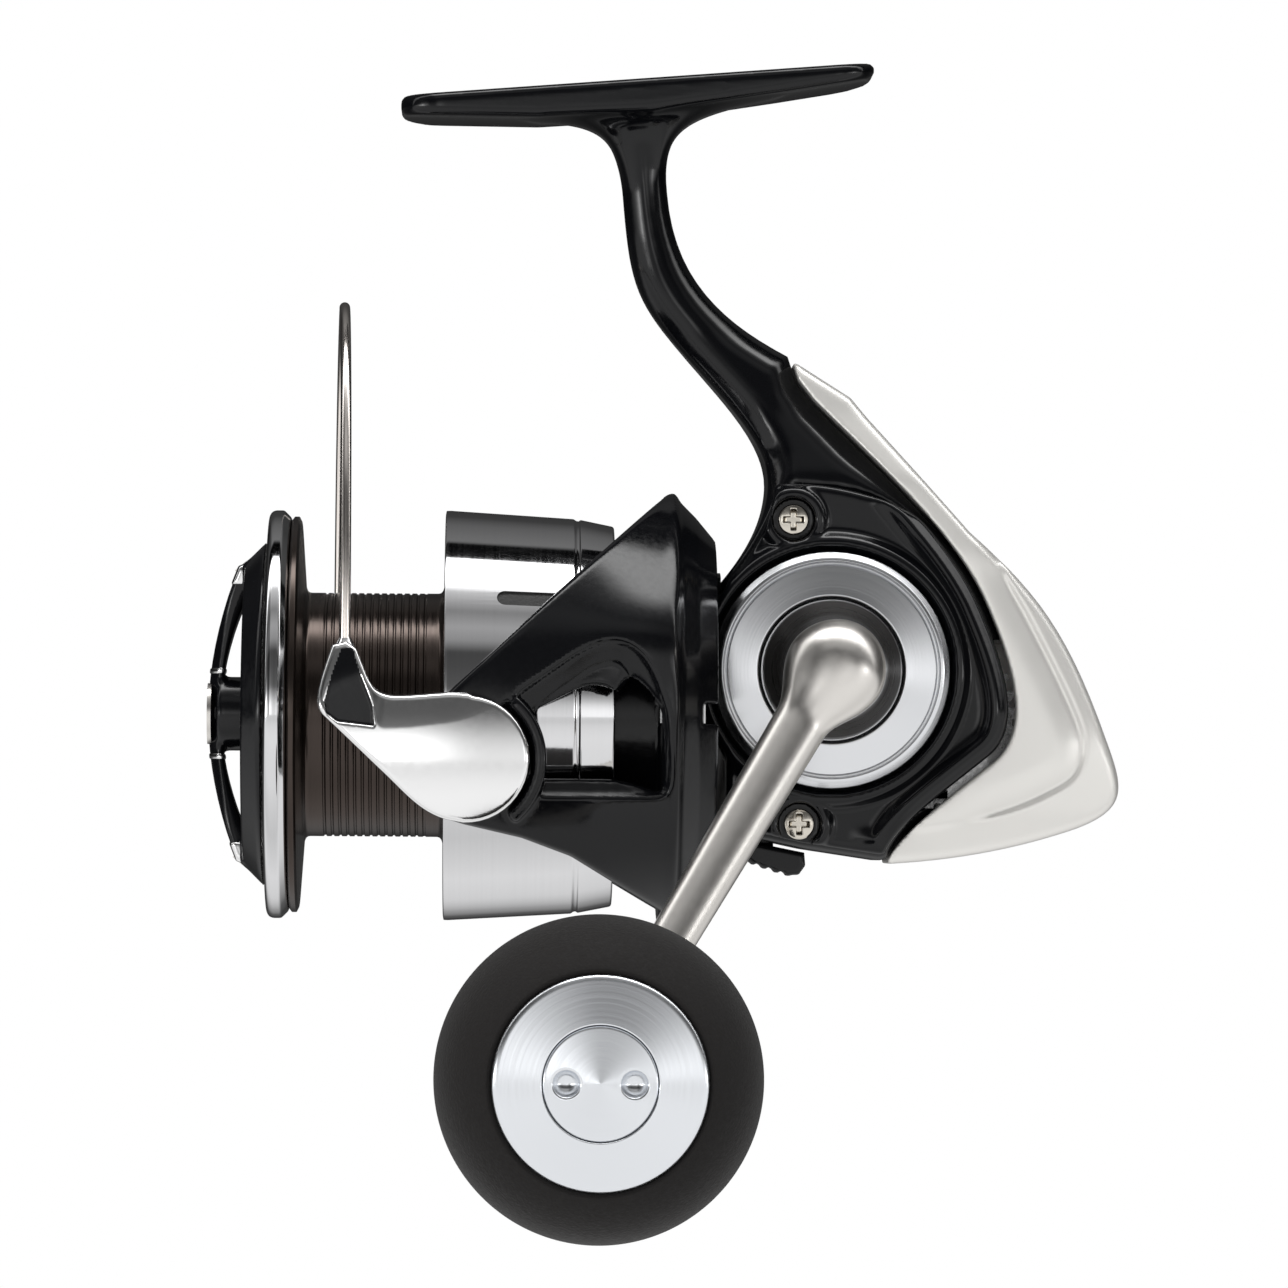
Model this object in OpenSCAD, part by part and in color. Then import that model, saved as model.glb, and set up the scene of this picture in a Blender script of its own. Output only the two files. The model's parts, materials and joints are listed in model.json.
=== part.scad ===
// Spinning reel, 4000 size class, with a rounded power knob and a one-sided handle.
// The spool points along -X, the rod above the reel along X, and the handle is on the -Y side.
// Inside the modules the main shaft is the X axis and the handle axle crosses it at x = 0.
// in_frame() then moves everything so that the centre of the foot's seat face is the origin.

/* [Foot and stem] */
// Height of the centre of the seat face above the main shaft
foot_height = 83.4; // [82:0.1:85]
// Distance from the handle axle forward to the centre of the foot
foot_forward = 25.5; // [24:0.5:27]
// Length of the foot that the rod's hoods clamp
foot_length = 62.2; // [60:0.1:64]
// Width of the foot
foot_width = 17; // [15:0.5:19]
// Slope of the seat face, which rises to the rear, in degrees
foot_tilt = 4.8; // [4:0.1:6]

/* [Body] */
// Half of the gear case's width
case_half = 12; // [11.5:0.1:12.5]
// Height of the handle axle above the main shaft
axle_z = 6; // [6:0.1:6.2]
// Radius of the silver ring round the handle axle
cover_ring_r = 15.4; // [14.5:0.1:16]

/* [Spool] */
// Radius of the spool's front lip
lip_r = 26.8; // [26:0.1:27]
// Radius of the arbor that the line is wound on
arbor_r = 16; // [15:0.1:17]
// Largest radius of the spool's skirt
skirt_r = 26.9; // [26.5:0.1:27]

/* [Rotor and bail] */
// Largest radius of the rotor's base
rotor_r = 29.1; // [28.8:0.1:29.5]
// Distance from the bail's pivot forward to the bail wire
bail_reach = 16.2; // [15.5:0.1:17]
// Height of the top of the bail wire above the main shaft
bail_top = 53.4; // [50:0.1:55]
// Radius of the bail wire
wire_r = 0.7; // [0.6:0.05:0.9]

/* [Handle] */
// Length of the handle from its axle to the knob's axle
handle_length = 59.8; // [58:0.1:60]
// How far the handle hangs forward of straight down, in degrees
handle_angle = 30.9; // [20:0.1:40]
// Distance from the main shaft out to the knob, which clears the turning bail
knob_offset = 59.2; // [59:0.1:62]
// Largest radius of the rounded knob
knob_r = 20.2; // [18:0.1:21]

/* [Gears] */
// Teeth of the drive gear
drive_teeth = 44; // [44]
// Teeth of the pinion
pinion_teeth = 9; // [9]
// Teeth of the small spur gear on the handle axle
spur_teeth = 12; // [12]
// Teeth of the oscillation gear
oscillation_teeth = 28; // [28]

/* [Hidden] */
$fn = 64;

pivot_x = -47.3;
pivot_z = -6.1;
knob_x = -handle_length * sin(handle_angle);
knob_z = axle_z - handle_length * cos(handle_angle);
knob_start = -knob_offset;
roller_x = -62.9;
roller_z = 1.6;
wire_bow = 2.3;
wire_half = 32;
wire_end_z = 7.6;
wire_near_x = pivot_x - bail_reach + 1.1;
wire_far_x = pivot_x - bail_reach - 0.9;
shaft_r = 2;
axle_r = 3.5;
crank_r = 8;
gear_module = 0.8;
spur_pitch_r = gear_module * spur_teeth / 2;
oscillation_pitch_r = gear_module * oscillation_teeth / 2;
oscillation_x = 14.5;
oscillation_drop = sqrt(pow(spur_pitch_r + oscillation_pitch_r, 2) - pow(oscillation_x, 2));
oscillation_z = axle_z - oscillation_drop;
slider_x = oscillation_x + crank_r / 2;
crank_angle = -60;
mesh_x = 13.5;
pinion_front = 16.5;
pinion_twist = 7.7;
tooth_steps = 14;
running_gap = 0.04;

// Moves the reel so that the centre of the foot's seat face is the origin.
module in_frame() translate([foot_forward, 0, -foot_height]) children();

// Solid turned about the main shaft from points [x, radius].
module turned_x(points)
    rotate([0, 90, 0]) rotate_extrude() polygon([for (p = points) [p[1], p[0]]]);

// Solid turned about a cross axis through (x, z) from points [y, radius].
module turned_y(x, z, points)
    translate([x, 0, z]) rotate([-90, 0, 0]) rotate_extrude() polygon([for (p = points) [p[1], p[0]]]);

// Round bar along X between two stations.
module bar_x(x0, x1, r, y = 0, z = 0)
    translate([x0, y, z]) rotate([0, 90, 0]) cylinder(h = x1 - x0, r = r);

// Round bar along Y between two stations, at (x, z).
module bar_y(x, z, y0, y1, r)
    translate([x, y0, z]) rotate([-90, 0, 0]) cylinder(h = y1 - y0, r = r);

// Ring along X.
module ring_x(x0, x1, inner, outer)
    turned_x([[x0, inner], [x0, outer], [x1, outer], [x1, inner]]);

// Ring along Y, round the axis through (x, z).
module ring_y(x, z, y0, y1, inner, outer)
    turned_y(x, z, [[y0, inner], [y0, outer], [y1, outer], [y1, inner]]);

// Slab between two stations along Y, from an outline in X and Z.
module slab_y(y0, y1) translate([0, y1, 0]) rotate([90, 0, 0]) linear_extrude(y1 - y0) children();

// Slab along X, from an outline in Y and Z.
module slab_x(x0, x1)
    translate([x0, 0, 0]) rotate([90, 0, 90]) linear_extrude(x1 - x0) children();

// Points of a cubic curve from a to d that leaves towards b and arrives from c.
function curve(a, b, c, d, steps = 8) = [
    for (i = [1 : steps])
        let (t = i / steps, s = 1 - t)
            a * s * s * s + b * 3 * s * s * t + c * 3 * s * t * t + d * t * t * t
];

// Height of the seat face at a distance x along the main shaft.
function seat_z(x) = foot_height + (x + foot_forward) * tan(foot_tilt);

// Outline of a spur gear with straight-flanked teeth.
module spur_outline(teeth, pitch_r) {
    step = 360 / teeth;
    root_r = pitch_r - 0.9;
    tip_r = pitch_r + 0.6;
    polygon([
        for (i = [0 : teeth - 1], p = [[root_r, -0.34], [tip_r, -0.13], [tip_r, 0.13], [root_r, 0.34]])
            p[0] * [cos(step * (i + p[1])), sin(step * (i + p[1]))]
    ]);
}

// Round wire wound into a spring along X, as one closed mesh.
module coil_x(x0, pitch, turns, radius, wire, y = 0, z = 0) {
    sides = 8;
    per_turn = 20;
    rings = per_turn * turns + 1;
    points = [
        for (i = [0 : rings - 1], k = [0 : sides - 1])
            let (a = 360 * i / per_turn, b = 360 * k / sides, r = radius + wire * cos(b))
                [x0 + pitch * i / per_turn + wire * sin(b), y + r * cos(a), z + r * sin(a)]
    ];
    skin = [
        for (i = [0 : rings - 2], k = [0 : sides - 1])
            let (n = (k + 1) % sides)
                [i * sides + k, i * sides + n, (i + 1) * sides + n, (i + 1) * sides + k]
    ];
    first = [for (k = [0 : sides - 1]) sides - 1 - k];
    last = [for (k = [0 : sides - 1]) (rings - 1) * sides + k];
    polyhedron(points = points, faces = concat(skin, [first, last]));
}

// ---------------------------------------------------------------- body

// Side view of the stem and the gear case, in X and Z.
module case_outline() {
    stem_front = concat(
        [[-38.5, 77.6]],
        curve([-38.5, 77.6], [-31, 77.2], [-28.2, 75.5], [-27.4, 69.4]),
        curve([-27.4, 69.4], [-26.5, 59], [-26, 56], [-21.7, 50.6]),
        curve([-21.7, 50.6], [-15.5, 43], [-8.2, 37], [-8.2, 30.6]),
        curve([-8.2, 30.6], [-8.3, 26], [-10.5, 22], [-14.2, 17.6])
    );
    case_under = [[-14.2, -14.5], [-11, -15.6], [-3.5, -17.2], [6.7, -18.7], [7.6, -18.4]];
    case_rear = concat(
        curve([7.6, -18.4], [9.2, -14.8], [14, -11.3], [21.1, -5.6]),
        curve([21.1, -5.6], [25.5, -2], [24.6, 5], [19.5, 16]),
        curve([19.5, 16], [15.5, 24], [7, 32], [-2.3, 41.3]),
        [[-4.4, 44], [-5.5, 47.5]]
    );
    stem_rear = concat(
        curve([-5.5, 47.5], [-14, 52], [-20.5, 57.5], [-21.5, 69]),
        curve([-21.5, 69], [-22.6, 76], [-21, 78.6], [-7.1, 81.3])
    );
    polygon(concat(stem_front, case_under, case_rear, stem_rear, [[-22, 82.5]]));
}

// Front view of the stem and the gear case, in Y and Z.
module case_front_outline(half) {
    right = concat(
        [[9, -19.5], [half, -13], [half, 21]],
        curve([half, 21], [half - 0.5, 36], [5, 40], [4.6, 60]),
        curve([4.6, 60], [4.8, 72], [5.5, 75], [8, 79]),
        [[8, 84]]
    );
    left = [for (i = [len(right) - 1 : -1 : 0]) [-right[i][0], right[i][1]]];
    polygon(concat(right, left));
}

// Side view of the housing's tail, which the rear cover hides.
module tail_outline(gap) {
    polygon([
        [-2, 20], [-2, 33], [8 + gap, 30 + gap], [17 + gap, 22 + gap], [24 + gap, 14.8 + gap],
        [27.3 + gap, 11.6 + gap], [28.4 + gap, 6], [28.4 + gap, -8], [27.2 + gap, -13.2 - gap],
        [10, -15.2 - gap], [0, -15.2 - gap]
    ]);
}

module foot() {
    half = foot_length / 2;
    front_x = -foot_forward - half;
    rear_x = -foot_forward + half;
    intersection() {
        slab_y(-foot_width / 2, foot_width / 2) polygon([
            [front_x, seat_z(front_x)], [front_x, 78.3], [-55.9, 78.1], [-38.5, 77.6], [-24, 78.2],
            [-14, 80], [-7.1, 81.3], [4.7, 83.3], [rear_x, seat_z(rear_x)]
        ]);
        translate([0, 0, 70]) linear_extrude(20) {
            translate([front_x + foot_width / 2, -foot_width / 2])
                square([foot_length - foot_width, foot_width]);
            translate([front_x + foot_width / 2, 0]) circle(d = foot_width);
            translate([rear_x - foot_width / 2, 0]) circle(d = foot_width);
        }
    }
}

// Room for the drive gear, open towards the side cover.
module drive_gear_room() {
    bar_y(0, axle_z, -11, -2.6, 17);
    translate([-9, -11, -11.8]) cube([34, 8.4, 22]);
}

// Room for the pinion, the oscillation gears and the slider.
module oscillation_room() {
    translate([-17, -4.9, -5.6]) cube([8, 14.2, 11.2]);
    translate([-6, -2.7, -11.8]) cube([31.6, 12, 22]);
    bar_y(0, axle_z, -2.7, 9.3, 6);
    bar_y(oscillation_x, oscillation_z, 4.7, 9.3, 12.3);
}

module body_housing() color([0.05, 0.05, 0.055]) in_frame() {
    difference() {
        union() {
            foot();
            intersection() {
                slab_y(-10.5, case_half) case_outline();
                slab_x(-40, 30) case_front_outline(case_half);
            }
            slab_y(-9.3, 9.3) tail_outline(0);
            intersection() {
                bar_x(-22, -14.2, 17);
                translate([-23, -10.5, -20]) cube([12, 40, 40]);
            }
            bar_x(-16, -13.4, 10.4);
            bar_x(-28.5, -20, 13.5);
            bar_y(0, axle_z, 8, 13.2, 9.5);
        }
        difference() {
            union() {
                drive_gear_room();
                oscillation_room();
            }
            bar_x(-8.8, -6.2, 5);
            translate([-8.8, -2.6, -12]) cube([2.6, 12, 24.4]);
        }
        bar_x(-9.5, -5.5, 4.2);
        bar_x(-18, -14, 7);
        bar_x(-21.5, -17.5, 9);
        bar_x(-30, -21.5, 10);
        bar_y(0, axle_z, 5, 12.5, 7);
        bar_y(0, axle_z, 11, 14, 5);
        bar_y(oscillation_x, oscillation_z, 8, 11, shaft_r);
        bar_x(-12.5, 27.1, 1.25, 0, -9.2);
        bar_y(-5, 25.6, -11, -3, 1.1);
        bar_y(-4, -14, -11, -3, 1.1);
        translate([14, 0, -16]) cylinder(h = 3.6, r = 1.1);
        translate([-8.4, 0, -18]) cylinder(h = 6, r = 1.6);
        for (a = [30, 150, 270]) rotate([a, 0, 0]) bar_x(-29, -24.5, 0.8, 0, 11.8);
    }
}

module side_cover() color([0.05, 0.05, 0.055]) in_frame() {
    difference() {
        union() {
            intersection() {
                slab_y(-13, -10.5) case_outline();
                bar_y(-5, -4, -13, -10.5, 34.3);
            }
            bar_y(0, axle_z, -13, -10.5, 17.4);
            bar_y(0, axle_z, -10.5, -9.3, 8.6);
        }
        bar_y(0, axle_z, -12.5, -9, 7);
        bar_y(0, axle_z, -14, -9, 5.2);
        for (p = [[-5, 25.6], [-4, -14]]) {
            bar_y(p[0], p[1], -14, -10, 1.1);
            bar_y(p[0], p[1], -14, -11.6, 2.8);
        }
    }
}

module cover_ring() color([0.8, 0.81, 0.82]) in_frame()
    turned_y(0, axle_z, [
        [-13, 5.2], [-13, cover_ring_r], [-14.4, cover_ring_r], [-15.6, cover_ring_r - 1.2],
        [-15.6, 13.9], [-14.9, 13.8], [-14.9, 13.6], [-15.7, 13.3], [-14.5, 9.4], [-14.5, 5.2]
    ]);

module rear_cover() color([0.78, 0.78, 0.76]) in_frame() {
    difference() {
        intersection() {
            slab_y(-12.6, 12.6) polygon(concat(
                [[-4.6, 46.5], [2.6, 41.9], [4.8, 39.2], [18.1, 24.2]],
                curve([18.1, 24.2], [27, 16.5], [31, 11.5], [36.1, -2.6]),
                curve([36.1, -2.6], [38.6, -9], [39.3, -11], [32.5, -13.7]),
                [[7.9, -18.8]]
            ));
            slab_x(-10, 40) case_front_outline(12.6);
        }
        slab_y(-14, 14) offset(delta = 0.3) case_outline();
        slab_y(-9.5, 9.5) tail_outline(0.3);
        translate([14, 0, -19]) cylinder(h = 2.6, r = 2.1);
        translate([14, 0, -19]) cylinder(h = 6, r = 1.1);
    }
}

// Screw along an axis that children() turn: head, then shank.
module screw(head_r, head_h, shank_r, length) {
    difference() {
        cylinder(h = head_h, r = head_r);
        translate([-head_r * 0.65, -0.3, -0.1]) cube([head_r * 1.3, 0.6, head_h * 0.5]);
        translate([-0.3, -head_r * 0.65, -0.1]) cube([0.6, head_r * 1.3, head_h * 0.5]);
    }
    translate([0, 0, head_h]) cylinder(h = length, r = shank_r);
}

module cover_screws() color([0.75, 0.75, 0.74]) in_frame()
    for (p = [[-5, 25.6], [-4, -14]])
        translate([p[0], -12.9, p[1]]) rotate([-90, 0, 0]) screw(2, 1.3, 1.1, 7);

module rear_cover_screw() color([0.75, 0.75, 0.74]) in_frame()
    translate([14, 0, -17.8]) screw(2, 1.4, 1.1, 3.8);

module drive_bearing_left() color("silver") in_frame() 
    ring_y(0, axle_z, -12.5, -9.5, axle_r + running_gap, 7);

module drive_bearing_right() color("silver") in_frame() 
    ring_y(0, axle_z, 9.5, 12.5, axle_r + running_gap, 7);

module right_side_cap() color([0.05, 0.05, 0.055]) in_frame()
    turned_y(0, axle_z, [[13.2, 0], [13.2, 8.6], [14.6, 8.6], [15.6, 7.6], [15.6, 0]]);

module pinion_bearing_front() color("silver") in_frame() 
    ring_x(-21, -17.5, 3.2 + running_gap, 9);

module pinion_bearing_rear() color("silver") in_frame() 
    ring_x(-8.8, -6.2, 3 + running_gap, 4.2);

module one_way_clutch() color("silver") in_frame() ring_x(-28.4, -21.5, 8.1, 10);

module clutch_rollers() color([0.7, 0.7, 0.72]) in_frame()
    for (i = [0 : 7]) rotate([45 * i, 0, 0]) bar_x(-27.8, -22.2, 1, 0, 7.06);

module clutch_retainer() color([0.6, 0.6, 0.62]) in_frame()
    difference() {
        ring_x(-29.2, -28.5, 6.8, 13.3);
        for (a = [30, 150, 270]) rotate([a, 0, 0]) bar_x(-30, -28, 0.8, 0, 11.8);
    }

module clutch_screws() color("silver") in_frame()
    for (a = [30, 150, 270])
        rotate([a, 0, 0]) translate([-30, 0, 11.8]) rotate([0, 90, 0]) screw(1.3, 0.8, 0.8, 4.2);

module guide_rod() color("silver") in_frame() bar_x(-12.4, 27, 1.25, 0, -9.2);

module oscillation_post() color("silver") in_frame()
    bar_y(oscillation_x, oscillation_z, 5.2, 11, shaft_r);

module bail_trip_ramp() color([0.1, 0.1, 0.11]) in_frame()
    intersection() {
        ring_x(-16.4, -14.2, 17, 19);
        slab_x(-17, -14) polygon([[0, 0], [-9, 30], [9, 30]]);
    }

module anti_reverse_lever() color([0.06, 0.06, 0.065]) in_frame() {
    difference() {
        slab_y(-3, 3) polygon([
            [-11, -16.1], [-10.4, -19], [-4.9, -20.9], [-3.2, -20.4], [-2.75, -19.4], [-2.9, -17.7]
        ]);
        for (x = [-9 : 1.5 : -4.5]) translate([x, -4, -21.9 - (x + 4.9) * 0.3]) cube([0.5, 8, 1.2]);
    }
    translate([-8.4, 0, -17]) cylinder(h = 4.6, r = 1.5);
}

// ---------------------------------------------------------------- handle and gears

module drive_gear() color([0.72, 0.6, 0.35]) in_frame() {
    mesh_r = sqrt(pow(mesh_x, 2) + pow(axle_z, 2));
    tooth_w = 0.38 * 2 * PI * mesh_r / drive_teeth;
    difference() {
        union() {
            turned_y(0, axle_z, [
                [-14, 0], [-14, axle_r], [-9.3, axle_r], [-9.3, 5.2], [-7.5, 5.2], [-7.5, 16.5],
                [-4.4, 16.5], [-4.4, 13.4], [-5.6, 13.4], [-5.6, 5.2], [-4, 5.2], [-4, axle_r],
                [12.5, axle_r], [12.5, 0]
            ]);
            for (i = [0 : drive_teeth - 1])
                translate([0, 0, axle_z])
                    rotate([0, 180 - atan2(axle_z, mesh_x) + i * 360 / drive_teeth, 0])
                        translate([13.4, -4.5, -tooth_w / 2]) cube([3, 1.35, tooth_w]);
        }
        bar_y(0, axle_z, -15, -3, 2.2);
    }
}

module oscillation_pinion() color([0.6, 0.6, 0.62]) in_frame()
    difference() {
        translate([0, 0, axle_z])
            slab_y(5.2, 8.2) rotate(crank_angle / 2) spur_outline(spur_teeth, spur_pitch_r);
        bar_y(0, axle_z, 5, 9, axle_r);
    }

module handle_shaft() color([0.7, 0.7, 0.72]) in_frame()
    turned_y(0, axle_z, [
        [-32.5, 0], [-32.5, 4.5], [-14.2, 4.5], [-14.2, 2.2], [-4, 2.2], [-4, 0]
    ]);

module handle_collar() color([0.12, 0.12, 0.13]) in_frame()
    turned_y(0, axle_z, [
        [-25.4, 4.5], [-25.4, 6.2], [-22, 7], [-18, 9], [-15.2, 9], [-15.2, 4.5]
    ]);

module handle_arm() color([0.72, 0.72, 0.72]) in_frame()
    difference() {
        union() {
            hull() {
                bar_y(0, axle_z, -34.7, -31.6, 3.7, $fn = 32);
                bar_y(knob_x, knob_z, knob_start + 1.6, knob_start + 4.6, 2.6, $fn = 32);
            }
            turned_y(0, axle_z, concat(
                [[-25.4, 0], [-25.4, 6.2], [-34, 6.2]],
                curve([-34, 6.2], [-37.2, 6.2], [-39.2, 3.8], [-39.2, 0])
            ));
            bar_y(knob_x, knob_z, knob_start + 0.8, knob_start + 5, 4);
        }
        bar_y(0, axle_z, -32.5, -25, 4.5);
        bar_y(knob_x, knob_z, knob_start, knob_start + 6, 2);
    }

module knob_axle() color("silver") in_frame() bar_y(knob_x, knob_z, knob_start - 34.4, knob_start + 5, 2);

module knob_screw() color("silver") in_frame()
    bar_y(knob_x, knob_z, knob_start - 35.5, knob_start - 34.4, 3.2);

module knob_grip() color([0.07, 0.07, 0.07]) in_frame()
    translate([0, knob_start, 0]) turned_y(knob_x, knob_z, concat(
        [[0, 5], [0, 7.5]],
        curve([0, 7.5], [-0.8, 15], [-8.8, knob_r], [-20.8, knob_r]),
        curve([-20.8, knob_r], [-30.8, knob_r], [-35.8, 17.5], [-37.6, 13.4]),
        [[-37.2, 13.2], [-37.2, 7.2], [-36.4, 7.2], [-36.4, 5]]
    ));

module knob_cap() color([0.7, 0.7, 0.7]) in_frame()
    translate([0, knob_start, 0]) turned_y(knob_x, knob_z, [
        [-37.2, 7.2], [-37.2, 13.2], [-38.4, 13], [-38.8, 12.4], [-38.4, 7.2]
    ]);

module knob_centre_cap() color([0.35, 0.35, 0.36]) in_frame()
    translate([0, knob_start, 0]) difference() {
        turned_y(knob_x, knob_z, [[-36.4, 0], [-36.4, 7.2], [-38.6, 7.2], [-39, 6.8], [-39, 0]]);
        for (x = [-4.2, 4.2]) bar_y(knob_x + x, knob_z, -40, -38.2, 1.6);
    }

module knob_bearings() color("silver") in_frame() {
    for (y = [-3.3, -34])
        ring_y(knob_x, knob_z, knob_start + y, knob_start + y + 2.5, shaft_r + 0.05, 5);
}

module oscillation_gear() color([0.75, 0.75, 0.76]) in_frame() {
    difference() {
        translate([oscillation_x, 0, oscillation_z])
            slab_y(5.2, 8.2) rotate(180 / oscillation_teeth + oscillation_phase())
                spur_outline(oscillation_teeth, oscillation_pitch_r);
        bar_y(oscillation_x, oscillation_z, 5, 9, shaft_r + 0.05);
    }
    bar_y(
        oscillation_x + crank_r * cos(crank_angle), oscillation_z + crank_r * sin(crank_angle),
        4.75, 5.3, 1.2
    );
}

// Turn of the oscillation gear that puts a gap where the spur gear's tooth points.
function oscillation_phase() =
    let (line = atan2(oscillation_z - axle_z, oscillation_x))
        (line + 180) + (line - crank_angle / 2) * spur_teeth / oscillation_teeth;

// ---------------------------------------------------------------- main shaft and spool

module main_shaft() color("silver") in_frame()
    difference() {
        bar_x(-79.4, slider_x + 2.6, shaft_r);
        bar_y(slider_x, 0, -3, 3, 0.8);
    }

module oscillation_slider() color([0.6, 0.6, 0.62]) in_frame()
    difference() {
        translate([slider_x - 2.6, -2.6, -11.4]) cube([5.2, 7, 21.2]);
        translate([slider_x - 1.3, 2.6, oscillation_z - 9.4]) cube([2.6, 3, 18.8]);
        bar_x(slider_x - 3, slider_x + 3, shaft_r);
        bar_x(slider_x - 3, slider_x + 3, 1.3, 0, -9.2);
        bar_y(slider_x, 0, -3, 2.6, 0.8);
        bar_y(slider_x, 0, -3, -2, 1.4);
    }

module slider_screw() color("silver") in_frame() {
    bar_y(slider_x, 0, -2.6, -2, 1.4);
    bar_y(slider_x, 0, -2, 2.6, 0.8);
}

// Washer that the spool stands on, and the toothed ring of the drag's click.
module spool_support() color([0.75, 0.75, 0.76]) in_frame() {
    ring_x(-50.4, -49.4, shaft_r, 4.2);
    translate([-49.4, 0, 0]) rotate([0, 90, 0]) difference() {
        linear_extrude(0.9) spur_outline(24, 9);
        translate([0, 0, -1]) cylinder(h = 3, r = shaft_r);
    }
}

module spool_core() color([0.13, 0.11, 0.1]) in_frame()
    difference() {
        turned_x([
            [-73, 12.5], [-73, 24.4], [-70.4, 24.4], [-70.4, lip_r - 0.8], [-69.4, lip_r - 0.8],
            [-69.2, lip_r - 1.4], [-68.6, arbor_r + 1.4], [-67.8, arbor_r], [-51.2, arbor_r],
            [-50.4, arbor_r + 1], [-49.9, 25.4], [-48.4, 25.4], [-48.4, 13.5], [-60.5, 13.5],
            [-60.5, 6.2], [-50.5, 6.2], [-50.5, 4.5], [-53, 4.5], [-53, 2.6], [-62, 2.6],
            [-62, 4.5], [-64.5, 4.5], [-64.5, 12.5]
        ]);
        for (i = [0 : 12]) ring_x(-66 + i, -65.6 + i, arbor_r - 0.15, arbor_r + 0.5);
    }

module spool_skirt() color([0.8, 0.81, 0.82]) in_frame()
    difference() {
        turned_x([
            [-49.9, 25.4], [-49.9, skirt_r - 0.5], [-49.4, skirt_r], [-33, skirt_r - 1],
            [-28.2, skirt_r - 2], [-28.2, 23.8], [-33.4, 24.6], [-48.4, 25.4]
        ]);
        clip_slot(0);
    }

// Slot in the skirt for the line clip, and the clip itself when it is drawn smaller.
module clip_slot(gap)
    rotate([-34, 0, 0]) translate([-43.5 + gap, -30, -1.1 + gap]) cube([10 - 2 * gap, 7, 2.2 - 2 * gap]);

module line_clip() color([0.08, 0.08, 0.08]) in_frame()
    intersection() {
        turned_x([[-44, 25.1], [-44, 26.3], [-33, 25.7], [-33, 24.6]]);
        clip_slot(0);
    }

module spool_lip() color([0.85, 0.86, 0.87]) in_frame()
    turned_x([
        [-73.4, 24.4], [-73.4, lip_r - 0.7], [-73.1, lip_r - 0.2], [-72.6, lip_r],
        [-71.5, lip_r], [-70.6, lip_r - 1], [-70.4, lip_r - 1.2], [-70.4, 24.4]
    ]);

module drag_washers() color([0.3, 0.3, 0.3]) in_frame()
    for (i = [0 : 6]) ring_x(-65.5 - i, -64.6 - i, 3.2, 12.3);

module drag_retainer() color("silver") in_frame() ring_x(-72.6, -71.9, 11.4, 12.5);

module spool_bearings() color("silver") in_frame() {
    ring_x(-53, -50.5, shaft_r + 0.05, 4.5);
    ring_x(-64.5, -62, shaft_r + 0.05, 4.5);
}

module click_pawl() color("silver") in_frame()
    translate([-49.4, -1, 10]) cube([1, 2, 3.4]);

module drag_knob() color([0.06, 0.06, 0.065]) in_frame()
    difference() {
        union() {
            turned_x([
                [-73.8, 3], [-73.8, 22.6], [-75.6, 20.8], [-76.5, 20], [-76.5, 17.4], [-75.2, 16.6],
                [-74.8, 5], [-74.8, 3]
            ]);
            ring_x(-80, -74, 2.4, 4.7);
            slab_y(-3.6, 3.6) polygon([
                [-76, 19.6], [-77.6, 18.6], [-79.4, 13], [-80.6, 7], [-80.9, 4], [-80.9, -4],
                [-80.6, -7], [-79.4, -13], [-77.6, -18.6], [-76, -19.6], [-76, -17.2], [-77.6, -12.6],
                [-78.8, -7], [-79.2, -4], [-79.2, 4], [-78.8, 7], [-77.6, 12.6], [-76, 17.2]
            ]);
        }
        bar_x(-77.4, -73, 4.1, $fn = 6);
        bar_x(-80, -73, 2.4);
    }

module drag_knob_plate() color([0.75, 0.75, 0.76]) in_frame() {
    ring_x(-81.4, -80.9, 1.5, 4);
    for (s = [-1, 1])
        slab_y(-2.6, 2.6) polygon([
            [-76.5, s * 19.95], [-77.9, s * 18.8], [-77.6, s * 18.6], [-76.5, s * 19.2875]
        ]);
}

module drag_nut() color("silver") in_frame()
    difference() {
        bar_x(-77.2, -74.2, 4, $fn = 6);
        bar_x(-78, -73, shaft_r + 0.05);
    }

module drag_spring() color("silver") in_frame() coil_x(-73.4, 0.8, 1, 2.75, 0.25);

// ---------------------------------------------------------------- rotor and bail

// Side view of a rotor arm, in X and Z.
module rotor_arm_outline() {
    polygon([
        [-20.3, 30], [-48.7, 3.3], [-55, -3], [-55.4, -8], [-52, -13], [-47.6, -14.4], [-40.1, -16.1],
        [-33.8, -18.4], [-28.8, -21.4], [-21.9, -25.5], [-20.3, -30]
    ]);
}

// Opening in a rotor arm.
module rotor_window() {
    polygon(concat(
        [[-38.2, 0.4], [-33.2, 3]],
        curve([-33.2, 3], [-28, 5.2], [-25.6, 0], [-23.4, -7.2]),
        [[-24, -8.5], [-37.3, -8.5], [-38, -7.6]]
    ));
}

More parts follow.
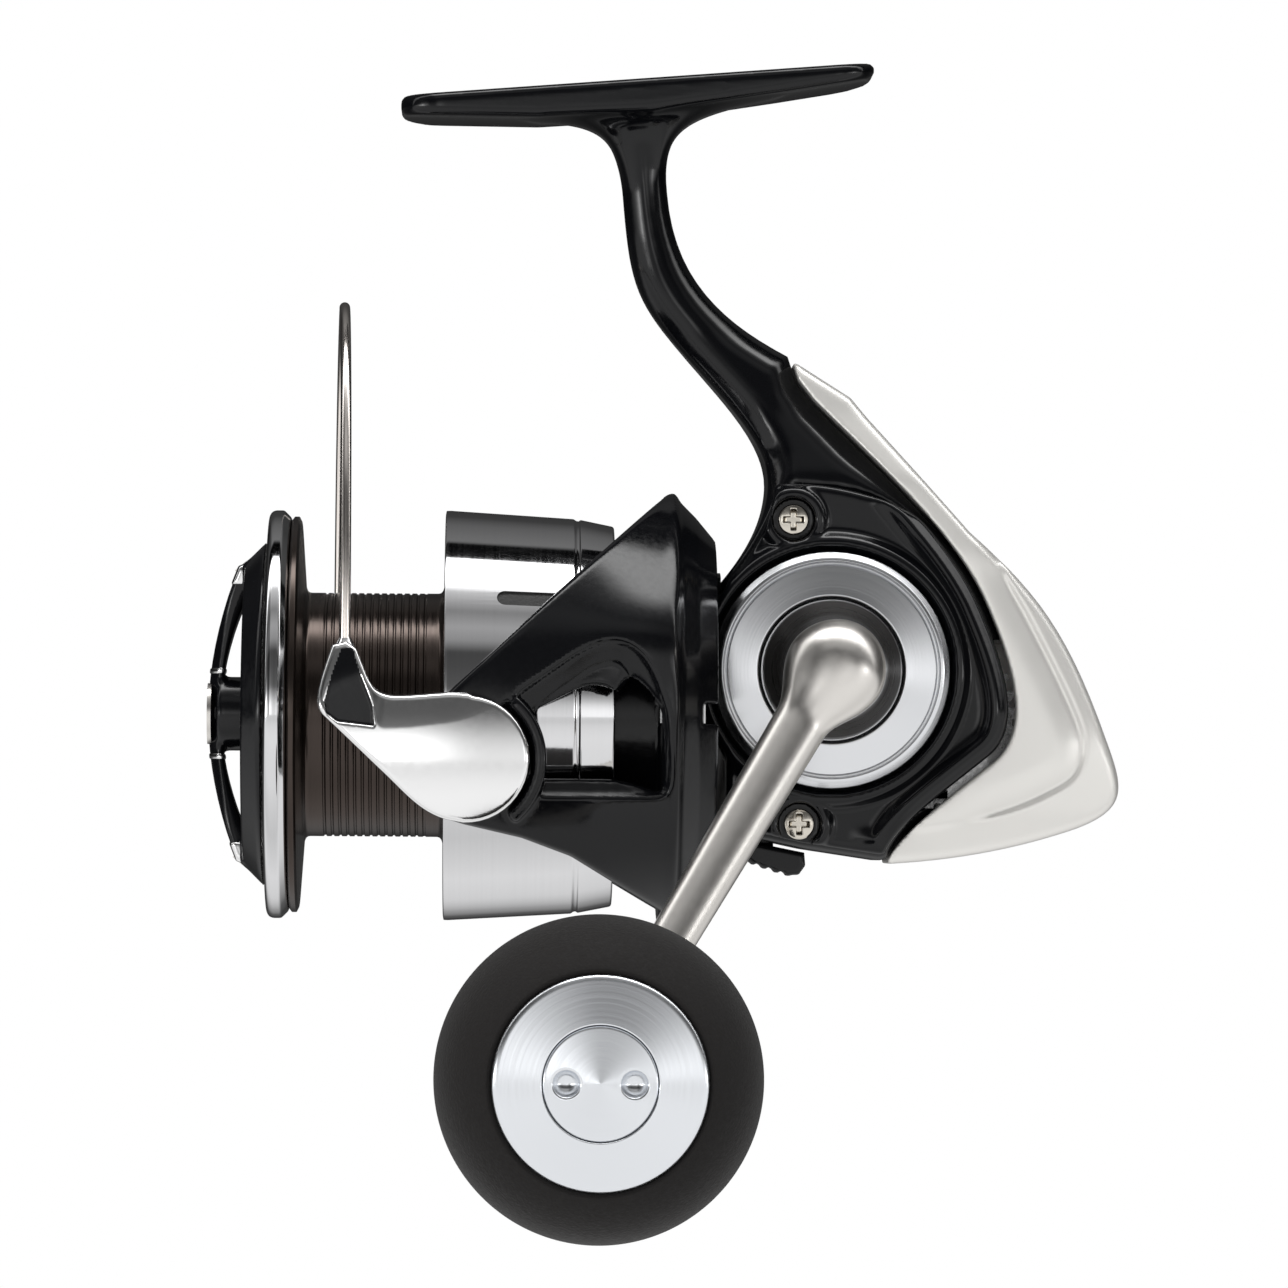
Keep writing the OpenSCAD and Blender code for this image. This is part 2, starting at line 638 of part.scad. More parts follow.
module rotor_frame() color([0.05, 0.05, 0.055]) in_frame()
    difference() {
        union() {
            turned_x([
                [-36, 3.2], [-36, 6], [-33, 7], [-33, 19], [-32, 20], [-23.6, 20], [-23.6, 28],
                [-22.6, rotor_r], [-20.3, rotor_r], [-14.9, 23.2], [-14.9, 21.6], [-20, 18.2],
                [-30.5, 18], [-30.5, 3.2]
            ]);
            for (side = [0, 180])
                intersection() {
                    turned_x([
                        [-56, 28.3], [-56, 32.4], [-42, 32.6], [-30, 31], [-21, rotor_r],
                        [-20.3, rotor_r], [-20.3, 27], [-23.6, 27.9], [-25, 28.3]
                    ]);
                    mirror([0, side / 180, 0]) difference() {
                        slab_y(-40, -1) rotor_arm_outline();
                        slab_y(-41, -20) rotor_window();
                    }
                }
            bar_y(pivot_x, pivot_z, -32.6, -27.7, 7.4);
            bar_y(pivot_x, pivot_z, 27.7, 32.6, 7.4);
        }
        bar_y(pivot_x, pivot_z, -33, -29.4, 3.05);
        bar_y(pivot_x, pivot_z, -33, -27, 1.5);
        bar_y(pivot_x, pivot_z, 29.4, 33, 3.05);
        bar_y(pivot_x, pivot_z, 27, 33, 1.5);
        bar_y(pivot_x, pivot_z, -28.7, -27, 2.6);
        bar_y(pivot_x, pivot_z, 27, 28.7, 2.6);
        bar_x(-43, -31.6, 1.7, -27.1, -13.2);
        translate([-22.4, -25.2, -1.3]) cube([8, 5.4, 2.6]);
    }

module pinion_gear() color([0.72, 0.6, 0.35]) in_frame()
    difference() {
        union() {
            bar_x(-40, -16.6, 3.2);
            bar_x(-16.8, -6.1, 3);
            translate([-pinion_front, 0, 0]) rotate([0, 90, 0])
                linear_extrude(height = 7, twist = pinion_twist * 7, slices = tooth_steps)
                    pinion_outline();
        }
        bar_x(-41, -5, shaft_r + 0.05);
    }

// Teeth of the pinion seen along its axis.
module pinion_outline() {
    step = 360 / pinion_teeth;
    polygon([
        for (i = [0 : pinion_teeth - 1], p = [[2.8, -0.26], [3.85, -0.12], [3.85, 0.12], [2.8, 0.26]])
            p[0] * [cos(step * (i + p[1]) + pinion_phase()), sin(step * (i + p[1]) + pinion_phase())]
    ]);
}

// Turn of the pinion's front end that lets its teeth fall between the drive gear's.
function pinion_phase() = -90 + pinion_twist * (pinion_front - mesh_x) + 180 / pinion_teeth;

module clutch_sleeve() color("silver") in_frame() ring_x(-28.6, -21.4, 3.2, 6);

module rotor_nut() color("silver") in_frame()
    difference() {
        union() {
            bar_x(-39, -36, 5.4, $fn = 6);
            bar_x(-36.6, -36, 5.8);
        }
        bar_x(-40, -35, 3.2);
    }

module bail_spring() color("silver") in_frame() coil_x(-42, 1.25, 8, 1.3, 0.25, -27.1, -13.2);

module bail_trip_lever() color([0.6, 0.6, 0.62]) in_frame()
    difference() {
        translate([-22.4, -24.8, -1.2]) cube([5.8, 4.6, 2.4]);
        bar_y(-20.8, 0, -27, -19, 0.6);
    }

module bail_pivot_screws() color("silver") in_frame()
    for (s = [0, 1])
        mirror([0, s, 0]) {
            bar_y(pivot_x, pivot_z, -28.7, -28, 2.6);
            bar_y(pivot_x, pivot_z, -32.8, -28.7, 1.5);
        }

// Side view of the bail arm, in X and Z.
module bail_arm_outline() {
    translate([pivot_x, pivot_z]) circle(r = 8.1);
    polygon(concat(
        [[-62.3, 8.8], [-61.3, 7.9], [-60.2, 5.1]],
        curve([-60.2, 5.1], [-59.4, 3], [-58.5, 1.8], [-56, 1.9]),
        [[-46.9, 2], [-46.9, -14]],
        curve([-49, -14], [-53, -13.4], [-55, -10.4], [-58.3, -7.4]),
        [[-65.4, -0.8]],
        curve([-65.8, -0.4], [-67, 0.6], [-66.2, 3], [-64.4, 8.2])
    ));
}

module bail_arm() color([0.8, 0.81, 0.82]) in_frame()
    difference() {
        union() {
            slab_y(-36.6, -33) bail_arm_outline();
            bar_y(pivot_x, pivot_z, -33.2, -29.5, 3);
        }
        bar_y(roller_x, roller_z, -34.2, -32, 1.2);
        bar_y(pivot_x, pivot_z, -33, -29, 1.5);
        bar_y(pivot_x, pivot_z, -34, -32.8, 1.5);
    }

module roller_bolt() color("silver") in_frame() {
    bar_y(roller_x, roller_z, -34.2, -27.9, 1.2);
    bar_y(roller_x, roller_z, -27.9, -27.2, 2.2);
}

module line_roller() color([0.75, 0.75, 0.76]) in_frame()
    turned_y(roller_x, roller_z, [
        [-32.6, 1.25], [-32.6, 3], [-31.7, 3], [-30.9, 2.2], [-29.9, 2.2], [-29.1, 3], [-28.2, 3],
        [-28.2, 1.25]
    ]);

// Centre of the bail wire at an angle from its near end, 0 to 180 degrees.
function wire_point(a) = [
    wire_near_x + (wire_far_x - wire_near_x) * (1 - cos(a)) / 2,
    -wire_half * sign(cos(a)) * pow(abs(cos(a)), 2 / wire_bow),
    wire_end_z + (bail_top - wire_r - wire_end_z) * pow(abs(sin(a)), 2 / wire_bow)
];

module bail_wire() color([0.8, 0.8, 0.8]) in_frame() {
    sides = 8;
    rings = 45;
    centres = [for (i = [0 : rings - 1]) wire_point(180 * i / (rings - 1))];
    points = [
        for (i = [0 : rings - 1], k = [0 : sides - 1])
            let (
                before = centres[max(i - 1, 0)],
                after = centres[min(i + 1, rings - 1)],
                along = (after - before) / norm(after - before),
                across = cross(along, [1, 0, 0]),
                out = across / norm(across),
                front = cross(out, along),
                b = 360 * k / sides
            )
                centres[i] + wire_r * (cos(b) * out + sin(b) * front)
    ];
    skin = [
        for (i = [0 : rings - 2], k = [0 : sides - 1])
            let (n = (k + 1) % sides)
                [i * sides + k, i * sides + n, (i + 1) * sides + n, (i + 1) * sides + k]
    ];
    first = [for (k = [0 : sides - 1]) sides - 1 - k];
    last = [for (k = [0 : sides - 1]) (rings - 1) * sides + k];
    polyhedron(points = points, faces = concat(skin, [first, last]));
}

module bail_holder() color([0.1, 0.1, 0.11]) in_frame()
    difference() {
        union() {
            slab_y(33, 36) {
                translate([pivot_x, pivot_z]) circle(r = 7.4);
                polygon([
                    [-47, 1.4], [-58, 2.4], [-61.4, 5.6], [-67, 5.6], [-67, -1], [-58, -7], [-50, -13]
                ]);
            }
            bar_y(pivot_x, pivot_z, 29.5, 33.2, 3);
            translate([wire_far_x, wire_half, 0]) cylinder(h = wire_end_z, r = 1.6);
        }
        bar_y(pivot_x, pivot_z, 29, 33, 1.5);
        translate([wire_far_x, wire_half, 5]) cylinder(h = 4, r = wire_r);
    }

body_housing();
side_cover();
cover_ring();
rear_cover();
cover_screws();
rear_cover_screw();
drive_bearing_left();
drive_bearing_right();
right_side_cap();
pinion_bearing_front();
pinion_bearing_rear();
one_way_clutch();
clutch_rollers();
clutch_retainer();
clutch_screws();
guide_rod();
oscillation_post();
bail_trip_ramp();
anti_reverse_lever();
drive_gear();
oscillation_pinion();
handle_shaft();
handle_collar();
handle_arm();
knob_axle();
knob_screw();
knob_grip();
knob_cap();
knob_centre_cap();
knob_bearings();
oscillation_gear();
main_shaft();
oscillation_slider();
slider_screw();
spool_support();
spool_core();
spool_skirt();
spool_lip();
drag_washers();
drag_retainer();
spool_bearings();
line_clip();
click_pawl();
drag_knob();
drag_knob_plate();
drag_nut();
drag_spring();
rotor_frame();
pinion_gear();
clutch_sleeve();
rotor_nut();
bail_spring();
bail_trip_lever();
bail_pivot_screws();
bail_arm();
bail_wire();
bail_holder();
line_roller();
roller_bolt();
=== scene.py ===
"""Looks of a spinning reel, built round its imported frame.

Shapes are written in working millimetres: x runs to the rear from the handle axle, z runs up from
the main shaft to the foot, and the handle is on the -y side. in_row() turns them into row metres.
"""

import json
import math

import bmesh
import bpy
import numpy as np
from mathutils import Matrix, Vector


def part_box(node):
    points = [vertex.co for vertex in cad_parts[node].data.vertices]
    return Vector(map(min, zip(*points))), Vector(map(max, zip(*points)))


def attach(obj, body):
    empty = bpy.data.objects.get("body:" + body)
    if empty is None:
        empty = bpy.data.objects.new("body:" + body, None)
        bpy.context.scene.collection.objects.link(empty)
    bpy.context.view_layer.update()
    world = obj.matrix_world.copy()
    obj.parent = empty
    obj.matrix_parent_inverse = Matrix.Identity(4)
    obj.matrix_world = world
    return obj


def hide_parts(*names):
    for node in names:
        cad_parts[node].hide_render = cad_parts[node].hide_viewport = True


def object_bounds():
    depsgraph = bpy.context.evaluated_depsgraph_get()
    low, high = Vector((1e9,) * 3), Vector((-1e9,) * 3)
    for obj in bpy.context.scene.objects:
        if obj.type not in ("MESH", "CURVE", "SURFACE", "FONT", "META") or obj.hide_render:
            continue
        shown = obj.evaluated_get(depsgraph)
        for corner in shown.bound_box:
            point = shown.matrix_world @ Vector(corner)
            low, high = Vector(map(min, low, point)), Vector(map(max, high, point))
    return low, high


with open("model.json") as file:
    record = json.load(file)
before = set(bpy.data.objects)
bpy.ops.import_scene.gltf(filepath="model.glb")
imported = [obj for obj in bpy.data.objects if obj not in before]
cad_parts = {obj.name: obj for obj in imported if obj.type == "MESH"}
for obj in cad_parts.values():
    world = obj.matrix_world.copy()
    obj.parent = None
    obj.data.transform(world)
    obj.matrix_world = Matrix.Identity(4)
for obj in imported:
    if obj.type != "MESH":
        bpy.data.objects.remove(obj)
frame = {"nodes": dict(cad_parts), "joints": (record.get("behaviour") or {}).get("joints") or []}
cad_low, cad_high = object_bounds()

MM = 0.001
JOINTS = {joint["name"]: joint for joint in frame["joints"]}
SHAFT_Z = JOINTS["rotor_spin"]["pos_m"][2]
AXLE_X = JOINTS["handle_turn"]["pos_m"][0]


def working(joint):
    """Working x and z of a joint's axis."""
    x, _, z = JOINTS[joint]["pos_m"]
    return (x - AXLE_X) / MM, (z - SHAFT_Z) / MM


def in_row(x, y, z):
    """Row metres of a working point."""
    return AXLE_X + x * MM, y * MM, SHAFT_Z + z * MM


AXLE_Z = working("handle_turn")[1]
KNOB_X, KNOB_Z = working("knob_spin")
PIVOT_X, PIVOT_Z = working("bail_swing")
ROLLER_X, ROLLER_Z = working("line_roller_spin")
KNOB_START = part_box("knob_grip")[1].y / MM


# ---------------------------------------------------------------- outlines and fields


def curve(a, b, c, d, steps=14):
    """Points of a cubic curve from a to d, a left out, that leaves towards b and arrives from c."""
    a, b, c, d = (np.array(p, float) for p in (a, b, c, d))
    ts = [i / steps for i in range(1, steps + 1)]
    return [
        tuple(a * (1 - t) ** 3 + b * 3 * (1 - t) ** 2 * t + c * 3 * (1 - t) * t**2 + d * t**3)
        for t in ts
    ]


def flowing(points, steps=8):
    """A smooth open line through given points."""
    p = np.array([points[0], *points, points[-1]], float)
    out = []
    for a, b, c, d in zip(p, p[1:], p[2:], p[3:]):
        for k in range(steps):
            t = k / steps
            square = (2 * a - 5 * b + 4 * c - d) * t**2
            cube = (3 * b - a - 3 * c + d) * t**3
            out.append(tuple(0.5 * (2 * b + (c - a) * t + square + cube)))
    return out + [tuple(p[-1])]


def graph(stations, values, blur=2.0):
    """A smooth function of one coordinate through values at stations."""
    low, high, step = stations[0] - 20, stations[-1] + 20, 0.25
    fine = np.arange(low, high, step)
    table = np.interp(fine, stations, values)
    width = max(int(blur / step), 1)
    kernel = np.ones(width) / width
    for _ in range(2):
        padded = np.pad(table, width, mode="edge")
        table = np.convolve(padded, kernel, mode="same")[width:-width]
    return lambda q: np.interp(q, fine, table)


def outline(points, u, v):
    """Signed distance in the plane to a closed outline, negative inside."""
    u, v = np.broadcast_arrays(np.asarray(u, np.float32), np.asarray(v, np.float32))
    nearest = np.full(u.shape, 1e9, np.float32)
    inside = np.zeros(u.shape, bool)
    for (au, av), (bu, bv) in zip(points, points[1:] + points[:1]):
        eu, ev = bu - au, bv - av
        span = eu * eu + ev * ev
        if span < 1e-12:
            continue
        t = np.clip(((u - au) * eu + (v - av) * ev) / span, 0, 1)
        nearest = np.minimum(nearest, (u - au - t * eu) ** 2 + (v - av - t * ev) ** 2)
        if ev:
            inside ^= ((av > v) != (bv > v)) & (u < (v - av) * eu / ev + au)
    return np.where(inside, -1, 1) * np.sqrt(nearest)


def step01(x, start, end):
    """Smooth step from 0 at start to 1 at end."""
    t = np.clip((x - start) / (end - start), 0, 1)
    return t * t * (3 - 2 * t)


def both(a, b, r=0.0):
    """Intersection of two fields with the shared edge rounded to radius r."""
    if not r:
        return np.maximum(a, b)
    out = np.hypot(np.maximum(a + r, 0), np.maximum(b + r, 0)) - r
    return out + np.minimum(np.maximum(a + r, b + r), 0)


def either(a, b, r=0.0):
    """Union of two fields with a fillet of radius r."""
    return -both(-a, -b, r)


def less(a, b, r=0.0):
    """Field a with field b cut away."""
    return both(a, -b, r)


def blend(a, b, k):
    """Soft union of two fields."""
    h = np.maximum(k - np.abs(a - b), 0) / k
    return np.minimum(a, b) - h * h * k / 4


def between(q, low, high):
    """Field of a slab across one coordinate."""
    return np.abs(q - (low + high) / 2) - (high - low) / 2


def radius(u, v, u0=0.0, v0=0.0):
    return np.hypot(u - u0, v - v0)


def bar_y(x, y, z, x0, z0, y0, y1, r, edge=0.0):
    """Field of a round bar along y."""
    return both(radius(x, z, x0, z0) - r, between(y, y0, y1), edge)


def block(x, y, z, low, high):
    """Field of a box."""
    sides = [between(q, a, b) for q, a, b in zip((x, y, z), low, high)]
    return np.maximum(np.maximum(sides[0], sides[1]), sides[2])


# ---------------------------------------------------------------- meshes


CORNERS = [(i, j, k) for i in (0, 1) for j in (0, 1) for k in (0, 1)]
CELL_EDGES = [
    (a, b)
    for a in CORNERS
    for b in CORNERS
    if sum(b) == sum(a) + 1 and sum(abs(p - q) for p, q in zip(a, b)) == 1
]


def sampled(values, cells):
    """Values of a grid at fractional cell positions, by linear interpolation."""
    cells = np.clip(cells, 0, np.array(values.shape[:3]) - 1.001)
    base = cells.astype(int)
    f = cells - base
    total = 0
    for corner in CORNERS:
        weight = np.prod(np.where(corner, f, 1 - f), axis=1)
        at = values[tuple((base + corner).T)]
        total = total + (weight[:, None] * at if at.ndim > 1 else weight * at)
    return total


def crossed_cells(inside):
    """Cells of the grid that the surface passes through."""
    shape = inside.shape
    count = np.zeros([n - 1 for n in shape], np.int8)
    for i, j, k in CORNERS:
        count += inside[i : shape[0] - 1 + i, j : shape[1] - 1 + j, k : shape[2] - 1 + k]
    return np.argwhere((count > 0) & (count < 8))


def cell_spots(values, cells):
    """The mean of the surface's crossings of each cell's edges."""
    at = {c: values[tuple((cells + c).T)] for c in CORNERS}
    total, hits = np.zeros((len(cells), 3)), np.zeros(len(cells))
    for a, b in CELL_EDGES:
        crossed = (at[a] < 0) != (at[b] < 0)
        t = np.where(crossed, at[a] / np.where(crossed, at[a] - at[b], 1), 0)
        spot = np.array(a) + t[:, None] * (np.array(b) - np.array(a))
        total += np.where(crossed[:, None], spot, 0)
        hits += crossed
    return cells + total / hits[:, None]


def cell_quads(inside, cells):
    """Faces that join the four cells round each crossed grid edge, wound outwards."""
    shape = inside.shape
    index = np.full([n - 1 for n in shape], -1, np.int64)
    index[tuple(cells.T)] = np.arange(len(cells))
    quads = []
    for axis in range(3):
        u, v = (axis + 1) % 3, (axis + 2) % 3
        here = tuple(slice(0, n - 1) if i == axis else slice(1, n - 1) for i, n in enumerate(shape))
        there = tuple(slice(1, n) if i == axis else slice(1, n - 1) for i, n in enumerate(shape))
        edges = np.argwhere(inside[here] != inside[there])
        edges[:, u] += 1
        edges[:, v] += 1
        ring = []
        for du, dv in ((0, 0), (1, 0), (1, 1), (0, 1)):
            cell = edges.copy()
            cell[:, u] -= 1 - du
            cell[:, v] -= 1 - dv
            ring.append(index[tuple(cell.T)])
        ring = np.stack(ring, 1)
        leaving = inside[tuple(edges.T)]
        ring[~leaving] = ring[~leaving][:, ::-1]
        quads.append(ring)
    return np.concatenate(quads)


def skinned(name, field, low, high, pitch):
    """Object whose surface is the zero level of a field over a grid of working millimetres."""
    axes = [np.arange(a - 2 * pitch, b + 3 * pitch, pitch) for a, b in zip(low, high)]
    grids = (axes[0][:, None, None], axes[1][None, :, None], axes[2][None, None, :])
    values = np.broadcast_to(field(*grids), [len(a) for a in axes]).astype(np.float32)
    inside = values < 0
    cells = crossed_cells(inside)
    spots = cell_spots(values, cells)
    slope = np.stack(np.gradient(values), axis=-1)
    for _ in range(3):
        g = sampled(slope, spots)
        f = sampled(values, spots)
        move = -f[:, None] * g / np.maximum((g * g).sum(1), 1e-6)[:, None]
        spots = spots + np.clip(move, -0.5, 0.5)
    normals = sampled(slope, spots)
    normals /= np.maximum(np.linalg.norm(normals, axis=1), 1e-9)[:, None]
    points = np.array([a[0] for a in axes]) + spots * pitch
    row = np.stack(in_row(points[:, 0], points[:, 1], points[:, 2]), 1)
    mesh = bpy.data.meshes.new(name)
    mesh.from_pydata(row.tolist(), [], cell_quads(inside, cells).tolist())
    mesh.polygons.foreach_set("use_smooth", np.ones(len(mesh.polygons), bool))
    mesh.update()
    mesh.normals_split_custom_set_from_vertices(normals.tolist())
    return placed(name, mesh)


def placed(name, mesh, matrix=None):
    obj = bpy.data.objects.new(name, mesh)
    bpy.context.scene.collection.objects.link(obj)
    if matrix:
        obj.matrix_world = matrix
    return obj


def softened(profile, size, steps=4):
    """Closed profile with each corner rounded."""
    out = []
    count = len(profile)
    for i in range(count):
        before, here, after = (np.array(profile[(i + k) % count], float) for k in (-1, 0, 1))
        back, ahead = before - here, after - here
        back_length, ahead_length = np.linalg.norm(back), np.linalg.norm(ahead)
        if min(back_length, ahead_length) < 1e-6:
            continue
        reach = min(size, 0.45 * back_length, 0.45 * ahead_length)
        straight = np.dot(back, ahead) / (back_length * ahead_length) < -0.995
        if straight or here[1] < 1e-6:
            out.append(tuple(here))
            continue
        a, b = here + back / back_length * reach, here + ahead / ahead_length * reach
        for k in range(steps + 1):
            t = k / steps
            out.append(tuple(a * (1 - t) ** 2 + here * 2 * t * (1 - t) + b * t * t))
    return out


TURN_X = Matrix(((0, 0, 1, 0), (1, 0, 0, 0), (0, 1, 0, 0), (0, 0, 0, 1)))
TURN_Y = Matrix(((0, 1, 0, 0), (0, 0, 1, 0), (1, 0, 0, 0), (0, 0, 0, 1)))


def bridged(name, rings, closed):
    """Mesh over rings of points, where a ring of one point is a pole; flat ends unless closed."""
    bm = bmesh.new()
    count = max(len(ring) for ring in rings)
    loops = []
    for ring in rings:
        verts = [bm.verts.new(point) for point in ring]
        loops.append(verts * count if len(verts) == 1 else verts)
    ends = [] if closed else [loops[0], loops[-1]]
    for ring, following in zip(loops, loops[1:] + (loops[:1] if closed else [])):
        for k in range(count):
            n = (k + 1) % count
            corners = list(dict.fromkeys((ring[k], ring[n], following[n], following[k])))
            if len(corners) > 2:
                bm.faces.new(corners)
    for end in ends:
        bm.faces.new(end)
    bmesh.ops.recalc_face_normals(bm, faces=bm.faces)
    mesh = bpy.data.meshes.new(name)
    bm.to_mesh(mesh)
    bm.free()
    return mesh


def turned(name, profile, axis="x", centre=(0.0, 0.0), soft=0.25, sides=160):
    """Object turned from a closed profile of [station, radius] about the shaft or a cross axis."""
    rings = []
    for station, r in softened(profile, soft):
        turns = [2 * math.pi * k / sides for k in range(sides if r > 1e-6 else 1)]
        rings.append([(r * MM * math.cos(a), r * MM * math.sin(a), station * MM) for a in turns])
    mesh = bridged(name, rings, True)
    smooth(mesh)
    x, z = centre
    turn = TURN_X if axis == "x" else TURN_Y
    obj = placed(name, mesh, Matrix.Translation(in_row(x, 0, z)) @ turn)
    weighted(obj)
    return obj


def smooth(mesh, angle=35):
    mesh.polygons.foreach_set("use_smooth", np.ones(len(mesh.polygons), bool))
    mesh.set_sharp_from_angle(angle=math.radians(angle))


def weighted(obj):
    modifier = obj.modifiers.new("weighted", "WEIGHTED_NORMAL")
    modifier.keep_sharp = True


def settled(obj):
    """Applies the object's modifiers."""
    graph_now = bpy.context.evaluated_depsgraph_get()
    mesh = bpy.data.meshes.new_from_object(obj.evaluated_get(graph_now))
    obj.modifiers.clear()
    obj.data = mesh


def tube(name, path, radii, sides=24):
    """Round tube along working points, with a radius at each, closed by flat ends."""
    path = np.array(path, float)
    along = np.gradient(path, axis=0)
    along /= np.linalg.norm(along, axis=1)[:, None]
    across = np.cross(along, [1.0, 0.0, 0.0])
    across /= np.linalg.norm(across, axis=1)[:, None]
    front = np.cross(across, along)
    turns = [2 * math.pi * k / sides for k in range(sides)]
    rings = []
    for p, u, v, r in zip(path, across, front, radii):
        rings.append([in_row(*(p + r * (math.cos(a) * u + math.sin(a) * v))) for a in turns])
    mesh = bridged(name, rings, False)
    smooth(mesh)
    return placed(name, mesh)


# ---------------------------------------------------------------- materials


RELIEF_DEPTH = 0.0002
COAT_ROUGHNESS = 0.04
SHEEN_ROUGHNESS = 0.4
QUARTER_TURN = 0.25
WHITE = (1, 1, 1, 1)


def feed(tree, node, inputs):
    """Links each socket among the inputs to the node, and sets every other value."""
    for key, value in inputs.items():
        if isinstance(value, bpy.types.NodeSocket):
            tree.links.new(value, node.inputs[key])
        else:
            node.inputs[key].default_value = value


def add(tree, kind, inputs=None, **settings):
    """Adds a shader node with its settings and inputs."""
    node = tree.nodes.new("ShaderNode" + kind)
    for key, value in settings.items():
        setattr(node, key, value)
    feed(tree, node, inputs or {})
    return node


def grain_source(tree, turned_grain):
    """Where a grain texture reads: object space, or radius and height on a turned part."""
    place = add(tree, "TexCoord").outputs["Object"]
    if not turned_grain:
        return place
    parts = add(tree, "SeparateXYZ", {"Vector": place})
    flat = add(tree, "CombineXYZ", {"X": parts.outputs["X"], "Y": parts.outputs["Y"]})
    length = add(tree, "VectorMath", {0: flat.outputs["Vector"]}, operation="LENGTH")
    joined = {"X": length.outputs["Value"], "Y": parts.outputs["Z"]}
    return add(tree, "CombineXYZ", joined).outputs["Vector"]


def noise(tree, vector, scale, detail=3.0):
    inputs = {"Scale": scale, "Detail": detail, "Vector": vector}
    return add(tree, "TexNoise", inputs).outputs["Fac"]


def ranged(tree, value, low, high):
    """A noise's value, spread from low to high."""
    span = {"From Min": 0.3, "From Max": 0.7, "To Min": low, "To Max": high, "Value": value}
    return add(tree, "MapRange", span).outputs["Result"]


def surface(
    name,
    colour,
    metallic=0.0,
    roughness=0.4,
    spread=0.04,
    tone=0.05,
    grain=900.0,
    turned_grain=False,
    relief=0.0,
    relief_grain=None,
    coat=0.0,
    anisotropy=0.0,
    sheen=0.0,
    specular=0.5,
):
    """Procedural material whose tone, roughness and fine relief vary with its grain."""
    material = bpy.data.materials.new(name)
    material.use_nodes = True
    tree = material.node_tree
    vector = grain_source(tree, turned_grain)
    value = noise(tree, vector, grain)
    shades = {"Factor": value}
    for socket, share in (("A", 1 - tone), ("B", 1 + tone)):
        shades[socket] = (*[min(c * share, 1) for c in colour], 1)
    looks = {
        "Base Color": add(tree, "Mix", shades, data_type="RGBA").outputs["Result"],
        "Roughness": ranged(tree, value, roughness - spread, roughness + spread),
        "Metallic": metallic,
        "Specular IOR Level": specular,
    }
    if relief:
        height = noise(tree, vector, relief_grain or grain, 2.0)
        bump = {"Strength": relief, "Distance": RELIEF_DEPTH, "Height": height}
        looks["Normal"] = add(tree, "Bump", bump).outputs["Normal"]
    if anisotropy:
        tangent = add(tree, "Tangent", direction_type="RADIAL", axis="Z")
        looks["Tangent"] = tangent.outputs["Tangent"]
        looks["Anisotropic"] = anisotropy
        looks["Anisotropic Rotation"] = QUARTER_TURN
    if coat:
        looks["Coat Weight"] = coat
        looks["Coat Roughness"] = COAT_ROUGHNESS
    if sheen:
        looks["Sheen Weight"] = sheen
        looks["Sheen Roughness"] = SHEEN_ROUGHNESS
    feed(tree, tree.nodes["Principled BSDF"], looks)
    return material


